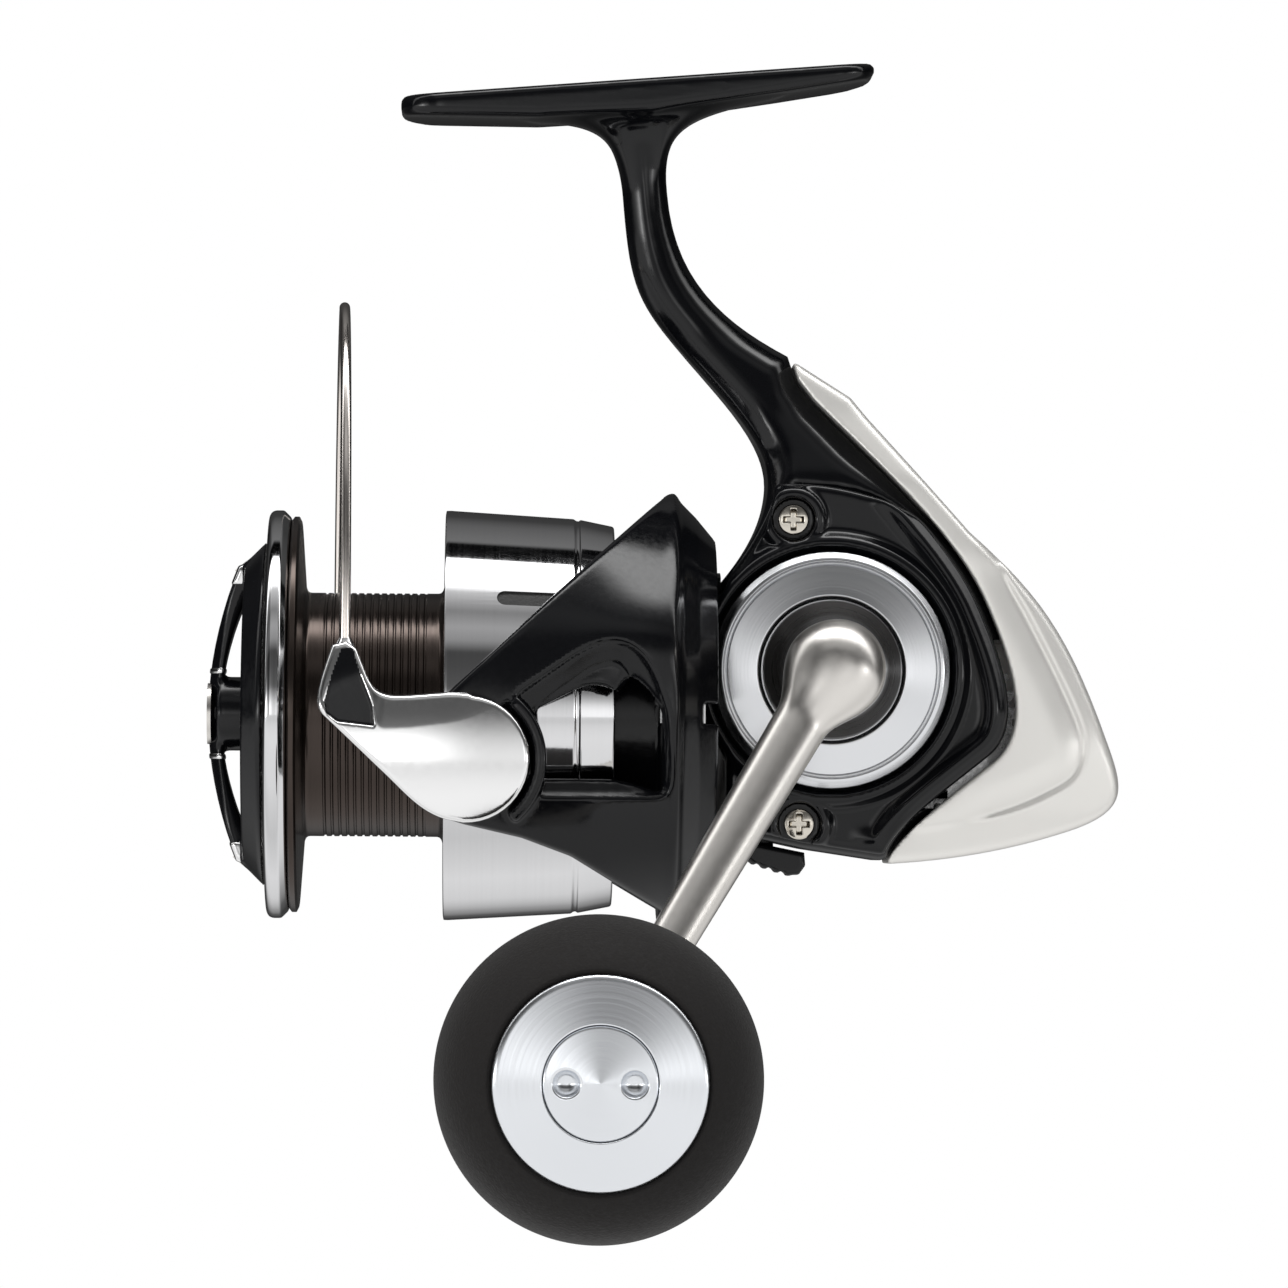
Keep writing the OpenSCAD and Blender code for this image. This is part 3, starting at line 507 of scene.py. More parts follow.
MATERIALS = {
    "black_housing": surface(
        "black_lacquer", (0.0026, 0.0028, 0.0036), roughness=0.12, spread=0.03, tone=0.1,
        grain=1400, relief=0.02, relief_grain=500, specular=0.34,
    ),
    "gloss_black": surface(
        "black_moulding", (0.0034, 0.0036, 0.0045), roughness=0.15, spread=0.04, tone=0.1,
        grain=1600, relief=0.03, relief_grain=700, specular=0.34,
    ),
    "pearl_cover": surface(
        "pearl_lacquer", (0.86, 0.845, 0.81), metallic=0.55, roughness=0.36, spread=0.01, tone=0.01,
        grain=300, coat=0.15,
    ),
    "polished_alu": surface(
        "polished_aluminium", (0.88, 0.88, 0.88), metallic=1.0, roughness=0.12, spread=0.02,
        tone=0.02, grain=1500, relief=0.015, relief_grain=400,
    ),
    "turned_alu": surface(
        "turned_aluminium", (0.74, 0.75, 0.77), metallic=1.0, roughness=0.22, spread=0.03,
        tone=0.03, grain=2600, turned_grain=True, relief=0.025, anisotropy=0.7,
    ),
    "satin_alu": surface(
        "satin_aluminium", (0.74, 0.715, 0.68), metallic=1.0, roughness=0.3, spread=0.02,
        tone=0.02, grain=1200,
    ),
    "dark_alu": surface(
        "brown_black_anodised", (0.062, 0.049, 0.043), metallic=0.9, roughness=0.22, spread=0.04,
        tone=0.1, grain=3600, turned_grain=True, relief=0.04, anisotropy=0.3,
    ),
    "dark_collar": surface(
        "grey_black_anodised", (0.055, 0.052, 0.05), metallic=0.9, roughness=0.3, spread=0.05,
        tone=0.08, grain=3600, turned_grain=True, relief=0.1, anisotropy=0.5,
    ),
    "spool_chrome": surface(
        "bright_skirt", (0.70, 0.70, 0.71), metallic=1.0, roughness=0.07, spread=0.02,
        tone=0.03, grain=3000, turned_grain=True, relief=0.03,
    ),
    "eva_grip": surface(
        "foam_grip", (0.0125, 0.0114, 0.011), roughness=0.8, spread=0.08, tone=0.22, grain=1500,
        relief=0.5, relief_grain=2600, sheen=0.05, specular=0.25,
    ),
    "grey_cap": surface(
        "spun_cap", (0.78, 0.80, 0.83), metallic=1.0, roughness=0.2, spread=0.03, tone=0.03,
        grain=2600, turned_grain=True, relief=0.02, anisotropy=0.85,
    ),
    "brass_gear": surface(
        "machined_brass", (0.72, 0.55, 0.28), metallic=1.0, roughness=0.28, spread=0.06,
        grain=2400, relief=0.08,
    ),
    "steel_part": surface(
        "machined_steel", (0.6, 0.6, 0.6), metallic=1.0, roughness=0.24, spread=0.06, grain=2400,
        relief=0.06,
    ),
    "spring_steel": surface(
        "drawn_wire", (0.45, 0.45, 0.46), metallic=1.0, roughness=0.3, spread=0.05, grain=2400,
        relief=0.05,
    ),
    "wire_alu": surface(
        "rose_aluminium", (0.92, 0.86, 0.81), metallic=1.0, roughness=0.17, spread=0.01,
        tone=0.01, grain=300, relief=0.0,
    ),
    "screw_steel": surface(
        "nickel_plate", (0.66, 0.62, 0.55), metallic=1.0, roughness=0.12, spread=0.05, grain=2200,
        relief=0.06,
    ),
    "drag_felt": surface(
        "carbon_felt", (0.05, 0.048, 0.046), roughness=0.9, spread=0.05, tone=0.3, grain=3200,
        relief=0.6, sheen=0.3,
    ),
    "matt_black": surface(
        "matt_moulding", (0.012, 0.012, 0.012), roughness=0.5, spread=0.06, tone=0.15, grain=2600,
        relief=0.15,
    ),
}


def finish(obj, body, look, *nodes):
    """Gives a piece its material, its body, and the CAD nodes that it stands for."""
    obj.data.materials.clear()
    obj.data.materials.append(MATERIALS[look])
    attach(obj, body)
    if nodes:
        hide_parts(*nodes)
    return obj


# ---------------------------------------------------------------- body

FOOT_LENGTH = 62.2
FOOT_WIDTH = 17.0
FOOT_X = -AXLE_X / MM
SEAT_Z = -SHAFT_Z / MM
FOOT_TILT = math.radians(4.5)
SEAT_LIFT = 0.35
SEAT_CROWN = 0.005
FOOT_UNDERSIDE = [(-38.5, 78.6), (-24, 79.6), (-14, 81.0), (-7.1, 82.1), (4.7, 84.1)]
STEM_FILLET = 4.6
TAIL_HALF = 9.3
COVER_INNER = -10.5
COVER_FACE = -13.0
COVER_CENTRE = (-5.0, -4.0)
COVER_R = 34.3
COVER_GAP = 0.25
SCREWS = [(-5.0, 25.6), (-4.0, -14.0)]
SCREW_HEAD_Y = -12.9
REAR_SCREW = (14.0, -17.8)
OSCILLATION = working("oscillation_gear_turn")


def seat_z(x):
    """Height of the foot's seat face."""
    return SEAT_Z + SEAT_LIFT + (x - FOOT_X) * math.tan(FOOT_TILT)


def case_points():
    """Side view of the stem and the gear case."""
    points = [(-37.5, 80.6)]
    points += curve((-37.5, 80.6), (-30.6, 78.6), (-28.3, 76.2), (-27.4, 69.4))
    points += curve((-27.4, 69.4), (-26.5, 59), (-26, 56), (-21.7, 50.6))
    points += curve((-21.7, 50.6), (-15.5, 43), (-8.2, 37), (-8.2, 30.6))
    points += curve((-8.2, 30.6), (-8.3, 26), (-10.5, 22), (-14.2, 17.6))
    points += [(-14.2, -14.5), (-11, -15.6), (-3.5, -17.2), (6.7, -18.7), (7.6, -18.4)]
    points += curve((7.6, -18.4), (9.2, -14.8), (14, -11.3), (21.1, -5.6))
    points += curve((21.1, -5.6), (25.5, -2), (24.6, 5), (19.5, 16))
    points += curve((19.5, 16), (15.5, 24), (7, 32), (-2.3, 41.3))
    points += [(-4.4, 44), (-5.5, 47.5)]
    points += curve((-5.5, 47.5), (-14, 52), (-20.5, 57.5), (-21.5, 69))
    points += curve((-21.5, 69), (-22.4, 76.6), (-19.6, 79.8), (-9.2, 83.8))
    return points + [(-22, 83.0)]


def tail_points(gap):
    """Side view of the housing's tail, inside the rear cover."""
    return [
        (-2, 20), (-2, 33), (8 + gap, 30 + gap), (17 + gap, 22 + gap), (24 + gap, 14.8 + gap),
        (27.3 + gap, 11.6 + gap), (28.4 + gap, 6), (28.4 + gap, -8), (27.2 + gap, -13.2 - gap),
        (10, -15.2 - gap), (0, -15.2 - gap),
    ]


body_half = graph(
    [-22, -13, 21, 31, 40, 50, 60, 68, 72, 76, 80],
    [9, 12, 12, 10.6, 7.4, 5.2, 4.5, 4.4, 4.5, 4.8, 5.4],
)
body_bevel = graph([-20, 24, 34, 44, 70, 80], [1.1, 1.3, 3.0, 2.6, 2.2, 1.6])


def foot_field(x, y, z):
    half = FOOT_LENGTH / 2
    front, rear = FOOT_X - half - 4, FOOT_X + half + 4
    side = [(front, seat_z(front)), (front, 78.8), *FOOT_UNDERSIDE, (rear, 85.4)]
    side += [(rear, seat_z(rear))]
    plan = both(np.abs(x - FOOT_X) - half, np.abs(y) - FOOT_WIDTH / 2, 5.5)
    return both(outline(side, x, z + SEAT_CROWN * y * y), plan, 0.9)


def cavity_field(x, y, z):
    """Rooms for the gears, the slider and the bearings."""
    rooms = [
        bar_y(x, y, z, 0, AXLE_Z, -14, -2.6, 17),
        block(x, y, z, (-9, -14, -11.8), (25, -2.6, 10.2)),
        block(x, y, z, (-17, -4.9, -5.6), (-5, 9.3, 5.6)),
        block(x, y, z, (-6, -2.7, -11.8), (25.6, 9.3, 10.2)),
        bar_y(x, y, z, 0, AXLE_Z, -2.7, 12.6, 7.2),
        bar_y(x, y, z, *OSCILLATION, 4.7, 11.2, 12.3),
        both(radius(y, z) - 10.1, between(x, -31, -17.4)),
        both(radius(y, z) - 7.1, between(x, -19, -9)),
        both(radius(y, z + 9.2) - 1.4, between(x, -13, 27.4)),
    ]
    return np.minimum.reduce(np.broadcast_arrays(*rooms))


def body_field(x, y, z):
    side = outline(case_points(), x, z)
    over = np.abs(y) - body_half(z)
    case = both(both(side, over, 0.9), (side + over + body_bevel(z)) * 0.7071, 0.8)
    covered = both(radius(x, z, *COVER_CENTRE) - COVER_R - 0.2, y - COVER_INNER - 0.05)
    case = less(case, covered, 0.3)
    tail = both(outline(tail_points(0), x, z), np.abs(y) - TAIL_HALF, 0.5)
    boss = bar_y(x, y, z, 0, AXLE_Z, 6, 12.9, 15.6, 0.9)
    cup = bar_y(x, y, z, 0, AXLE_Z, 8, 13.2, 9.6, 0.4)
    plate = both(radius(y, z) - 17, both(between(x, -22, -14), COVER_INNER - y), 0.4)
    snout = both(radius(y, z) - 13.5, between(x, -28.5, -20), 0.4)
    whole = blend(case, foot_field(x, y, z), STEM_FILLET)
    whole = both(whole, z + SEAT_CROWN * y * y - seat_z(x))
    whole = either(whole, boss, 1.5)
    for part in (tail, cup, plate, snout):
        whole = np.minimum(whole, part)
    return less(whole, cavity_field(x, y, z))


def make_body():
    obj = skinned("body_shell", body_field, (-57, -11, -22), (30, 14, 87), 0.5)
    finish(obj, "body", "black_housing", "body_housing")


def side_cover_field(x, y, z):
    side = outline(case_points(), x, z)
    plan = both(side + 0.75, radius(x, z, *COVER_CENTRE) - COVER_R, 0.6)
    disc = radius(x, z, 0, AXLE_Z)
    plan = either(plan, disc - 17.4, 0.6)
    rim = 1.35 * (step01(disc, 15.75, 16.15) - step01(disc, 16.9, 18.4))
    ridge = 1.2 * np.exp(-(((-side - 2.6) / 1.0) ** 2)) * step01(x, 2, 11)
    lift = np.maximum(rim, ridge)
    for sx, sz in SCREWS:
        reach = radius(x, z, sx, sz)
        lug = 0.9 * (1 - step01(reach, 3.7, 4.6))
        lift = np.where(disc < 15.7, lift, np.maximum(lift, lug))
    field = both(plan, -y + COVER_FACE - lift, 0.8)
    for sx, sz in SCREWS:
        field = less(field, bar_y(x, y, z, sx, sz, -16, -11.6, 2.8), 0.3)
        field = less(field, bar_y(x, y, z, sx, sz, -16, -9, 1.15))
    field = both(field, y - COVER_INNER)
    field = np.minimum(field, bar_y(x, y, z, 0, AXLE_Z, COVER_INNER - 1, -9.3, 8.6))
    field = less(field, bar_y(x, y, z, 0, AXLE_Z, -12.5, -9, 7.05))
    return less(field, bar_y(x, y, z, 0, AXLE_Z, -15, -9, 5.2))


def make_side_cover():
    obj = skinned("side_cover_shell", side_cover_field, (-18, -15, -20), (25, -9, 32), 0.34)
    finish(obj, "body", "black_housing", "side_cover")


def rear_points():
    """Side view of the rear cover's outer edge."""
    points = [(-4.6, 46.5), (2.6, 41.9), (4.8, 39.2), (18.1, 24.2)]
    points += curve((18.1, 24.2), (27, 16.5), (31, 11.5), (36.1, -2.6))
    points += curve((36.1, -2.6), (38.6, -9), (39.3, -11.6), (32.5, -14.3))
    points += curve((32.5, -14.3), (26, -16.6), (18, -18.5), (7.9, -19.1))
    return points + [(7.4, -17.6), (0, -14), (0, 28), (-9, 40), (-9, 47.4)]


def crease_points():
    """Side view of the raised inner part of the rear cover."""
    line = [
        (21.2, 24.5), (22.6, 18.9), (25.9, 12.8), (30, 4.8), (32.6, -1.2), (32.9, -4.6),
        (31.9, -7.4), (29.2, -9.4), (23, -12.1), (13.7, -14.3), (4, -15.5),
    ]
    return flowing(line, 5) + [(-14, -16), (-14, 60), (22, 44)]


def rear_cover_field(x, y, z):
    beyond = outline(crease_points(), x, z)
    turned_in = 0.075 * np.clip(beyond + 4.4, 0, 4.8) ** 2 * step01(x, 14, 22)
    lip = step01(beyond, -0.45, 0.55)
    drop = turned_in * (1 - lip) + lip * (0.6 + 0.36 * np.maximum(beyond, 0))
    half = np.minimum(body_half(z) + 0.6, 12.6) - drop
    shell = both(outline(rear_points(), x, z), np.abs(y) - half, 1.3)
    shell = less(shell, outline(case_points(), x, z) - COVER_GAP)
    shell = less(shell, both(outline(tail_points(0.3), x, z), np.abs(y) - TAIL_HALF - 0.2))
    reach = radius(x, y, REAR_SCREW[0], 0)
    shell = less(shell, both(reach - 2.2, between(z, -20, -16.3)), 0.2)
    return less(shell, both(reach - 1.15, between(z, -20, -10)))


def make_rear_cover():
    obj = skinned("rear_cover_shell", rear_cover_field, (-8, -13, -20), (39, 13, 48), 0.36)
    finish(obj, "body", "pearl_cover", "rear_cover")


def make_cover_ring():
    profile = [
        (-13, 5.2), (-13, 15.4), (-14.4, 15.4), (-15.3, 14.6), (-15.45, 14.1), (-14.7, 14.0),
        (-14.7, 13.7), (-15.0, 13.6), (-15.65, 9.75), (-15.6, 9.5), (-14.6, 9.3), (-14.6, 5.2),
    ]
    obj = turned("cover_ring_dial", profile, "y", (0, AXLE_Z), 0.18)
    finish(obj, "body", "turned_alu", "cover_ring")


def screw_field(x, y, z, head, depth, length):
    """Cross-head screw along +y from its head's face at y = 0."""
    r = radius(x, z)
    dome = both(r - head, both(0.06 * r * r - y - 0.1, y - depth, 0.1), 0.18)
    wide, high = np.abs(x), np.abs(z)
    arm = head * 0.68
    cross = np.minimum(both(wide - 0.36, high - arm), both(high - 0.36, wide - arm))
    field = less(dome, both(cross, y - 1.2), 0.08)
    return np.minimum(field, both(r - 1.05, between(y, depth - 0.2, depth + length)))


def make_cover_screw(number, sx, sz, nodes):
    def field(x, y, z):
        return screw_field(x - sx, y - SCREW_HEAD_Y, z - sz, 2.0, 1.3, 6.0)

    low, high = (sx - 2.2, SCREW_HEAD_Y - 0.2, sz - 2.2), (sx + 2.2, SCREW_HEAD_Y + 7.5, sz + 2.2)
    obj = skinned(f"cover_screw_{number}", field, low, high, 0.1)
    finish(obj, "body", "screw_steel", *nodes)


def make_rear_screw():
    sx, sz = REAR_SCREW

    def field(x, y, z):
        return screw_field(x - sx, z - sz, y, 2.0, 1.4, 3.6)

    low, high = (sx - 2.2, -2.2, sz - 0.2), (sx + 2.2, 2.2, sz + 5.2)
    obj = skinned("rear_screw", field, low, high, 0.1)
    finish(obj, "body", "screw_steel", "rear_cover_screw")


def make_screws():
    make_cover_screw(1, *SCREWS[0], ["cover_screws"])
    make_cover_screw(2, *SCREWS[1], [])
    make_rear_screw()


def make_right_cap():
    profile = [(13.2, 0), (13.2, 8.6), (14.5, 8.6), (15.5, 7.6), (15.6, 5.4), (15.1, 5.1), (15.1, 0)]
    obj = turned("right_cap_dial", profile, "y", (0, AXLE_Z), 0.2)
    finish(obj, "body", "gloss_black", "right_side_cap")


def make_lever():
    points = [
        (-11, -16.1), (-10.6, -18.6), (-9.6, -19.4), (-5.2, -20.8), (-3.6, -20.6),
        (-2.75, -19.4), (-2.9, -17.7),
    ]

    def field(x, y, z):
        tab = both(outline(points, x, z), np.abs(y) - 3, 0.6)
        for number in range(4):
            groove = radius(x, z + 0.31 * x, -9 + 1.6 * number, -22.55) - 0.55
            tab = less(tab, groove, 0.1)
        return np.minimum(tab, both(radius(x, y, -8.4, 0) - 1.5, between(z, -17, -12.4)))

    obj = skinned("anti_reverse_tab", field, (-11.5, -3.3, -21.5), (-2.4, 3.3, -12), 0.2)
    finish(obj, "anti_reverse", "gloss_black", "anti_reverse_lever")


# ---------------------------------------------------------------- handle and knob

HUB_R = 6.15
HUB_TOP = -38.9
HUB_BASE = -25.4
ARM_START = (-0.5, -33.6)
ROUNDNESS = 2.1
KNOB_SLACK = 0.2
CAP_R = 13.0
PLUG_R = 7.0


def make_collar():
    profile = [(HUB_BASE, 4.5), (HUB_BASE, 6.1), (-22, 6.9)]
    profile += [(-18.2, 8.95), (-15.2, 9), (-15.2, 4.5)]
    obj = turned("handle_collar_dial", profile, "y", (0, AXLE_Z), 0.5)
    finish(obj, "drive", "dark_collar", "handle_collar")


def handle_field(x, y, z):
    """Hub dome that flows into a rounded arm, which steps outwards to the knob."""
    start = np.array([ARM_START[0], ARM_START[1], AXLE_Z])
    end = np.array([KNOB_X - 0.5, KNOB_START + 3.0, KNOB_Z])
    along = end - start
    length = np.linalg.norm(along)
    along = along / length
    across = np.cross(along, [0, 1, 0])
    across = across / np.linalg.norm(across)
    outward = np.cross(along, across)
    p = [x - start[0], y - start[1], z - start[2]]
    t = sum(q * a for q, a in zip(p, along))
    u = sum(q * a for q, a in zip(p, across))
    w = sum(q * a for q, a in zip(p, outward))
    share = np.clip(t / length, 0, 1)
    half = 3.7 - 1.1 * share
    thick = 3.0 - 1.0 * share
    oval = np.abs(u / half) ** ROUNDNESS + np.abs(w / thick) ** ROUNDNESS
    arm = both((oval ** (1 / ROUNDNESS) - 1) * thick, between(t, 0, length + 1.5), 1.0)
    r = radius(x, z, 0, AXLE_Z)
    hub = both(r - HUB_R, between(y, HUB_TOP, HUB_BASE), 0.4)
    ball = np.sqrt(r * r + (np.maximum(-33.4 - y, 0) * 1.12) ** 2) - HUB_R
    whole = blend(both(hub, ball, 0.3), arm, 5.5)
    whole = both(whole, y - HUB_BASE)
    end_boss = bar_y(x, y, z, KNOB_X, KNOB_Z, KNOB_START + 0.8, KNOB_START + 5, 3.9, 0.5)
    whole = blend(whole, end_boss, 1.6)
    whole = both(whole, KNOB_START + 0.8 - y)
    return less(whole, bar_y(x, y, z, 0, AXLE_Z, -32.5, -24, 4.55))


def make_handle():
    low = (KNOB_X - 5, KNOB_START, KNOB_Z - 5)
    obj = skinned("handle_arm_forged", handle_field, low, (7, -25, AXLE_Z + 7), 0.42)
    finish(obj, "drive", "satin_alu", "handle_arm")


def knob_turned(name, profile, soft, look, node):
    """A turned piece of the knob, whose profile starts at the knob's inner face."""
    profile = [(station + KNOB_START, r) for station, r in profile]
    obj = turned(name, profile, "y", (KNOB_X, KNOB_Z), soft, 200)
    finish(obj, "knob", look, node)


def make_grip():
    r = (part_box("knob_grip")[1].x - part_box("knob_grip")[0].x) / 2 / MM - KNOB_SLACK
    grip = [(0, 5), (0, 7.5)]
    grip += curve((0, 7.5), (-0.8, 15), (-8.8, r), (-20.8, r), 24)
    grip += curve((-20.8, r), (-30.8, r), (-35.8, 17.5), (-37.6, 13.6), 24)
    grip += [(-37.2, CAP_R + 0.15), (-36.9, CAP_R + 0.1), (-36.9, PLUG_R), (-36.4, PLUG_R), (-36.4, 5)]
    knob_turned("knob_foam", grip, 0.15, "eva_grip", "knob_grip")


def make_cap():
    cap = [(-36.9, PLUG_R), (-36.9, CAP_R), (-37.5, CAP_R), (-37.85, 12.75), (-38.0, 12.35)]
    knob_turned("knob_cap_dial", cap + [(-38.72, PLUG_R)], 0.2, "grey_cap", "knob_cap")


def make_plug():
    """Centre cap with its two round dimples."""

    def field(x, y, z):
        r = radius(x, z, KNOB_X, KNOB_Z)
        face = KNOB_START - 39.05 + 0.075 * r
        plug = both(r - PLUG_R + 0.08, np.maximum(face - y, y - KNOB_START + 36.4), 0.25)
        for side in (-1, 1):
            reach = radius(x, z, KNOB_X + side * 4.1, KNOB_Z)
            plug = less(plug, np.hypot(reach, y - KNOB_START + 39.2) - 1.72, 0.15)
        return plug

    low = (KNOB_X - 7.3, KNOB_START - 39, KNOB_Z - 7.3)
    high = (KNOB_X + 7.3, KNOB_START - 36.2, KNOB_Z + 7.3)
    obj = skinned("knob_plug", field, low, high, 0.14)
    centre = Vector(in_row(KNOB_X, 0, KNOB_Z))
    obj.data.transform(Matrix.Translation(-centre))
    obj.data.transform(TURN_Y.inverted())
    obj.matrix_world = Matrix.Translation(centre) @ TURN_Y
    finish(obj, "knob", "grey_cap", "knob_centre_cap")


# ---------------------------------------------------------------- spool and drag knob

ARBOR_R = 16.0
GROOVE_R = 15.82
GROOVES = 13
CLIP_TURN = math.radians(-34)


def make_arbor():
    core = [(-73, 12.5), (-73, 24.4), (-70.4, 24.4), (-70.4, 25.6), (-70.1, 26.0), (-69.5, 26.0)]
    core += [(-69.2, 25.4), (-68.6, 17.2)]
    core += curve((-68.6, 17.2), (-68.5, 16.4), (-68.3, ARBOR_R), (-67.8, ARBOR_R), 6)
    core += [(-66.2, ARBOR_R)]
    for groove in range(GROOVES):
        start = groove - 66
        core += [(start, ARBOR_R), (start + 0.12, GROOVE_R)]
        core += [(start + 0.3, GROOVE_R), (start + 0.42, ARBOR_R)]
    core += [(-53, ARBOR_R), (-52.9, 15.9), (-52.7, 15.9), (-52.6, ARBOR_R), (-51.2, ARBOR_R)]
    core += curve((-51.2, ARBOR_R), (-50.7, ARBOR_R), (-50.5, 16.4), (-50.4, 17), 6)
    core += [(-50.0, 25.2), (-48.5, 25.3), (-48.4, 13.5), (-60.5, 13.5), (-60.5, 6.2)]
    core += [(-50.5, 6.2), (-50.5, 4.5), (-53, 4.5), (-53, 2.6), (-62, 2.6), (-62, 4.5)]
    core += [(-64.5, 4.5), (-64.5, 12.5)]
    finish(turned("spool_arbor", core, soft=0.06, sides=200), "spool", "dark_alu", "spool_core")


def make_lip():
    lip = [(-73.4, 24.5), (-73.4, 26.1), (-73.1, 26.6), (-72.6, 26.8), (-71.5, 26.8), (-70.6, 25.9)]
    lip += [(-70.45, 25.4), (-70.45, 24.5)]
    finish(turned("spool_lip_ring", lip, soft=0.25, sides=200), "spool", "spool_chrome", "spool_lip")


def make_skirt():
    skirt = [(-49.9, 25.3), (-50.3, 26.3), (-50.2, 26.9), (-49.6, 26.92), (-33.5, 25.95)]
    skirt += [(-33.15, 25.7), (-32.85, 25.65), (-32.6, 25.85), (-28.4, 25.0), (-28.2, 24.8)]
    skirt += [(-28.2, 23.9), (-33.4, 24.5), (-48.4, 25.25)]
    obj = turned("spool_skirt_drum", skirt, soft=0.12, sides=240)
    cut_clip_slot(obj)
    finish(obj, "spool", "spool_chrome", "spool_skirt")


def clip_slot():
    """Cutter of the line clip's round-ended slot."""
    half, front, rear = 1.1, -43.5, -33.5
    loop = []
    for centre, begin in ((front + half, 90), (rear - half, 270)):
        for k in range(13):
            a = math.radians(begin + 180 * k / 12)
            loop.append((centre + half * math.cos(a), half * math.sin(a)))
    rings = [[(x * MM, y * MM, z * MM) for x, z in loop] for y in (-30, -22)]
    turn = Matrix.Rotation(CLIP_TURN, 4, "X")
    mesh = bridged("slot_cutter", rings, False)
    return placed("slot_cutter", mesh, Matrix.Translation(in_row(0, 0, 0)) @ turn)


def cut_clip_slot(obj):
    cutter = clip_slot()
    modifier = obj.modifiers.new("slot", "BOOLEAN")
    modifier.operation = "DIFFERENCE"
    modifier.solver = "EXACT"
    modifier.object = cutter
    obj.modifiers.move(1, 0)
    bpy.context.view_layer.update()
    settled(obj)
    bpy.data.objects.remove(cutter)
    smooth(obj.data)
    weighted(obj)


def drag_bar_field(x, y, z):
    """Arched bar across the drag knob."""
    arch = [(-75.5, 19.9), (-77.3, 19.2)]
    arch += curve((-77.3, 19.2), (-79.5, 14), (-80.9, 8), (-81.2, 3.5), 8) + [(-81.2, -3.5)]
    arch += curve((-81.2, -3.5), (-80.9, -8), (-79.5, -14), (-77.3, -19.2), 8)
    arch += [(-75.5, -19.9), (-75.5, -16.8)]
    arch += curve((-75.5, -16.8), (-77.5, -13), (-79, -8), (-79.4, -4), 8)
    arch += curve((-79.4, 4), (-79, 8), (-77.5, 13), (-75.5, 16.8), 8)
    bar = both(outline(arch, x, z), np.abs(y) - 2.4 - 0.12 * np.abs(z), 0.8)
    return both(bar, (np.abs(y) * 0.8 - x - 82.0) * 0.78, 0.4)


def drag_knob_field(x, y, z):
    r = radius(y, z)
    rim = [
        (-73.8, 3), (-73.8, 22.6), (-75.6, 20.8), (-76.5, 19.9), (-76.5, 17.6), (-75.4, 16.6),
        (-75.0, 5), (-75.0, 3),
    ]
    hub = both(r - 4.7, between(x, -80, -74), 0.6)
    whole = either(np.minimum(outline(rim, x, r), hub), drag_bar_field(x, y, z), 0.8)
    whole = either(whole, hub, 0.5)
    wide, high = np.abs(y), np.abs(z)
    nut = np.maximum(wide, wide * 0.5 + high * 0.866) - 3.6
    whole = less(whole, both(nut, between(x, -77.4, -72)))
    return less(whole, both(r - 2.4, between(x, -80.2, -72)))


def drag_trim_field(x, y, z):
    """Bright plates on the bar's ends and either side of its middle."""
    tips = np.minimum(between(np.abs(z), 16.9, 20.6), between(np.abs(z), 5.2, 6.0))
    return both(drag_bar_field(x, y, z) - 0.16, np.maximum(tips, x + 76.2), 0.1)


def make_drag_knob():
    obj = skinned("drag_knob_grip", drag_knob_field, (-81.4, -23, -23), (-73.4, 23, 23), 0.3)
    finish(obj, "drag_control", "gloss_black", "drag_knob")
    obj = skinned("drag_knob_trim", drag_trim_field, (-81.6, -6, -21), (-76, 6, 21), 0.24)
    finish(obj, "drag_control", "polished_alu")


# ---------------------------------------------------------------- rotor and bail

BAIL_INNER = 33.0
BAIL_FACE = 36.5
BAIL_END_R = 8.1
POCKET_FLOOR = 34.75
BOLT_HOLE_R = 1.25
PIVOT_HOLE_R = 1.55
TRUNNION_R = 3.0
WIRE_R = 0.7
WIRE_BOW = 2.3
WIRE_HALF = 32.0
WIRE_END_Z = 7.6
WIRE_TOP = 53.5
WIRE_NEAR_X = PIVOT_X - 15.5
WIRE_FAR_X = PIVOT_X - 17.6

rotor_r = graph([-57, -42, -31, -25, -20], [32.3, 32.6, 31.9, 30.3, 29.1], 3.0)
bail_crease = graph([-68, -63, -55, -48, -44, -40], [-2.4, -2.4, -2.2, -1.2, 0.8, 2.5], 3.0)


def rotor_arm_points():
    """Side view of a rotor arm."""
    return [
        (-20.3, 30), (-48.7, 3.3), (-55, -3), (-55.4, -8), (-52, -13), (-47.6, -14.4),
        (-40.1, -16.1), (-33.8, -18.4), (-28.8, -21.4), (-21.9, -25.5), (-20.3, -30),
    ]


def window_points():
    """Side view of the opening in a rotor arm."""
    return (
        [(-38.2, 0.4), (-33.2, 3)]
        + curve((-33.2, 3), (-28, 5.2), (-25.6, 0), (-23.4, -7.2))
        + [(-24, -8.5), (-37.3, -8.5), (-38, -7.6)]
    )


def recess_points():
    """Side view of the funnel round the opening."""
    return (
        [(-43.5, 0.5), (-34.3, 7)]
        + curve((-34.3, 7), (-28, 11.4), (-23.8, 9.5), (-21.4, 0))
        + [(-20.9, -5)]
        + curve((-20.9, -5), (-20.6, -9.5), (-21, -10.9), (-23.5, -10.9))
        + [(-43.5, -10.9)]
    )


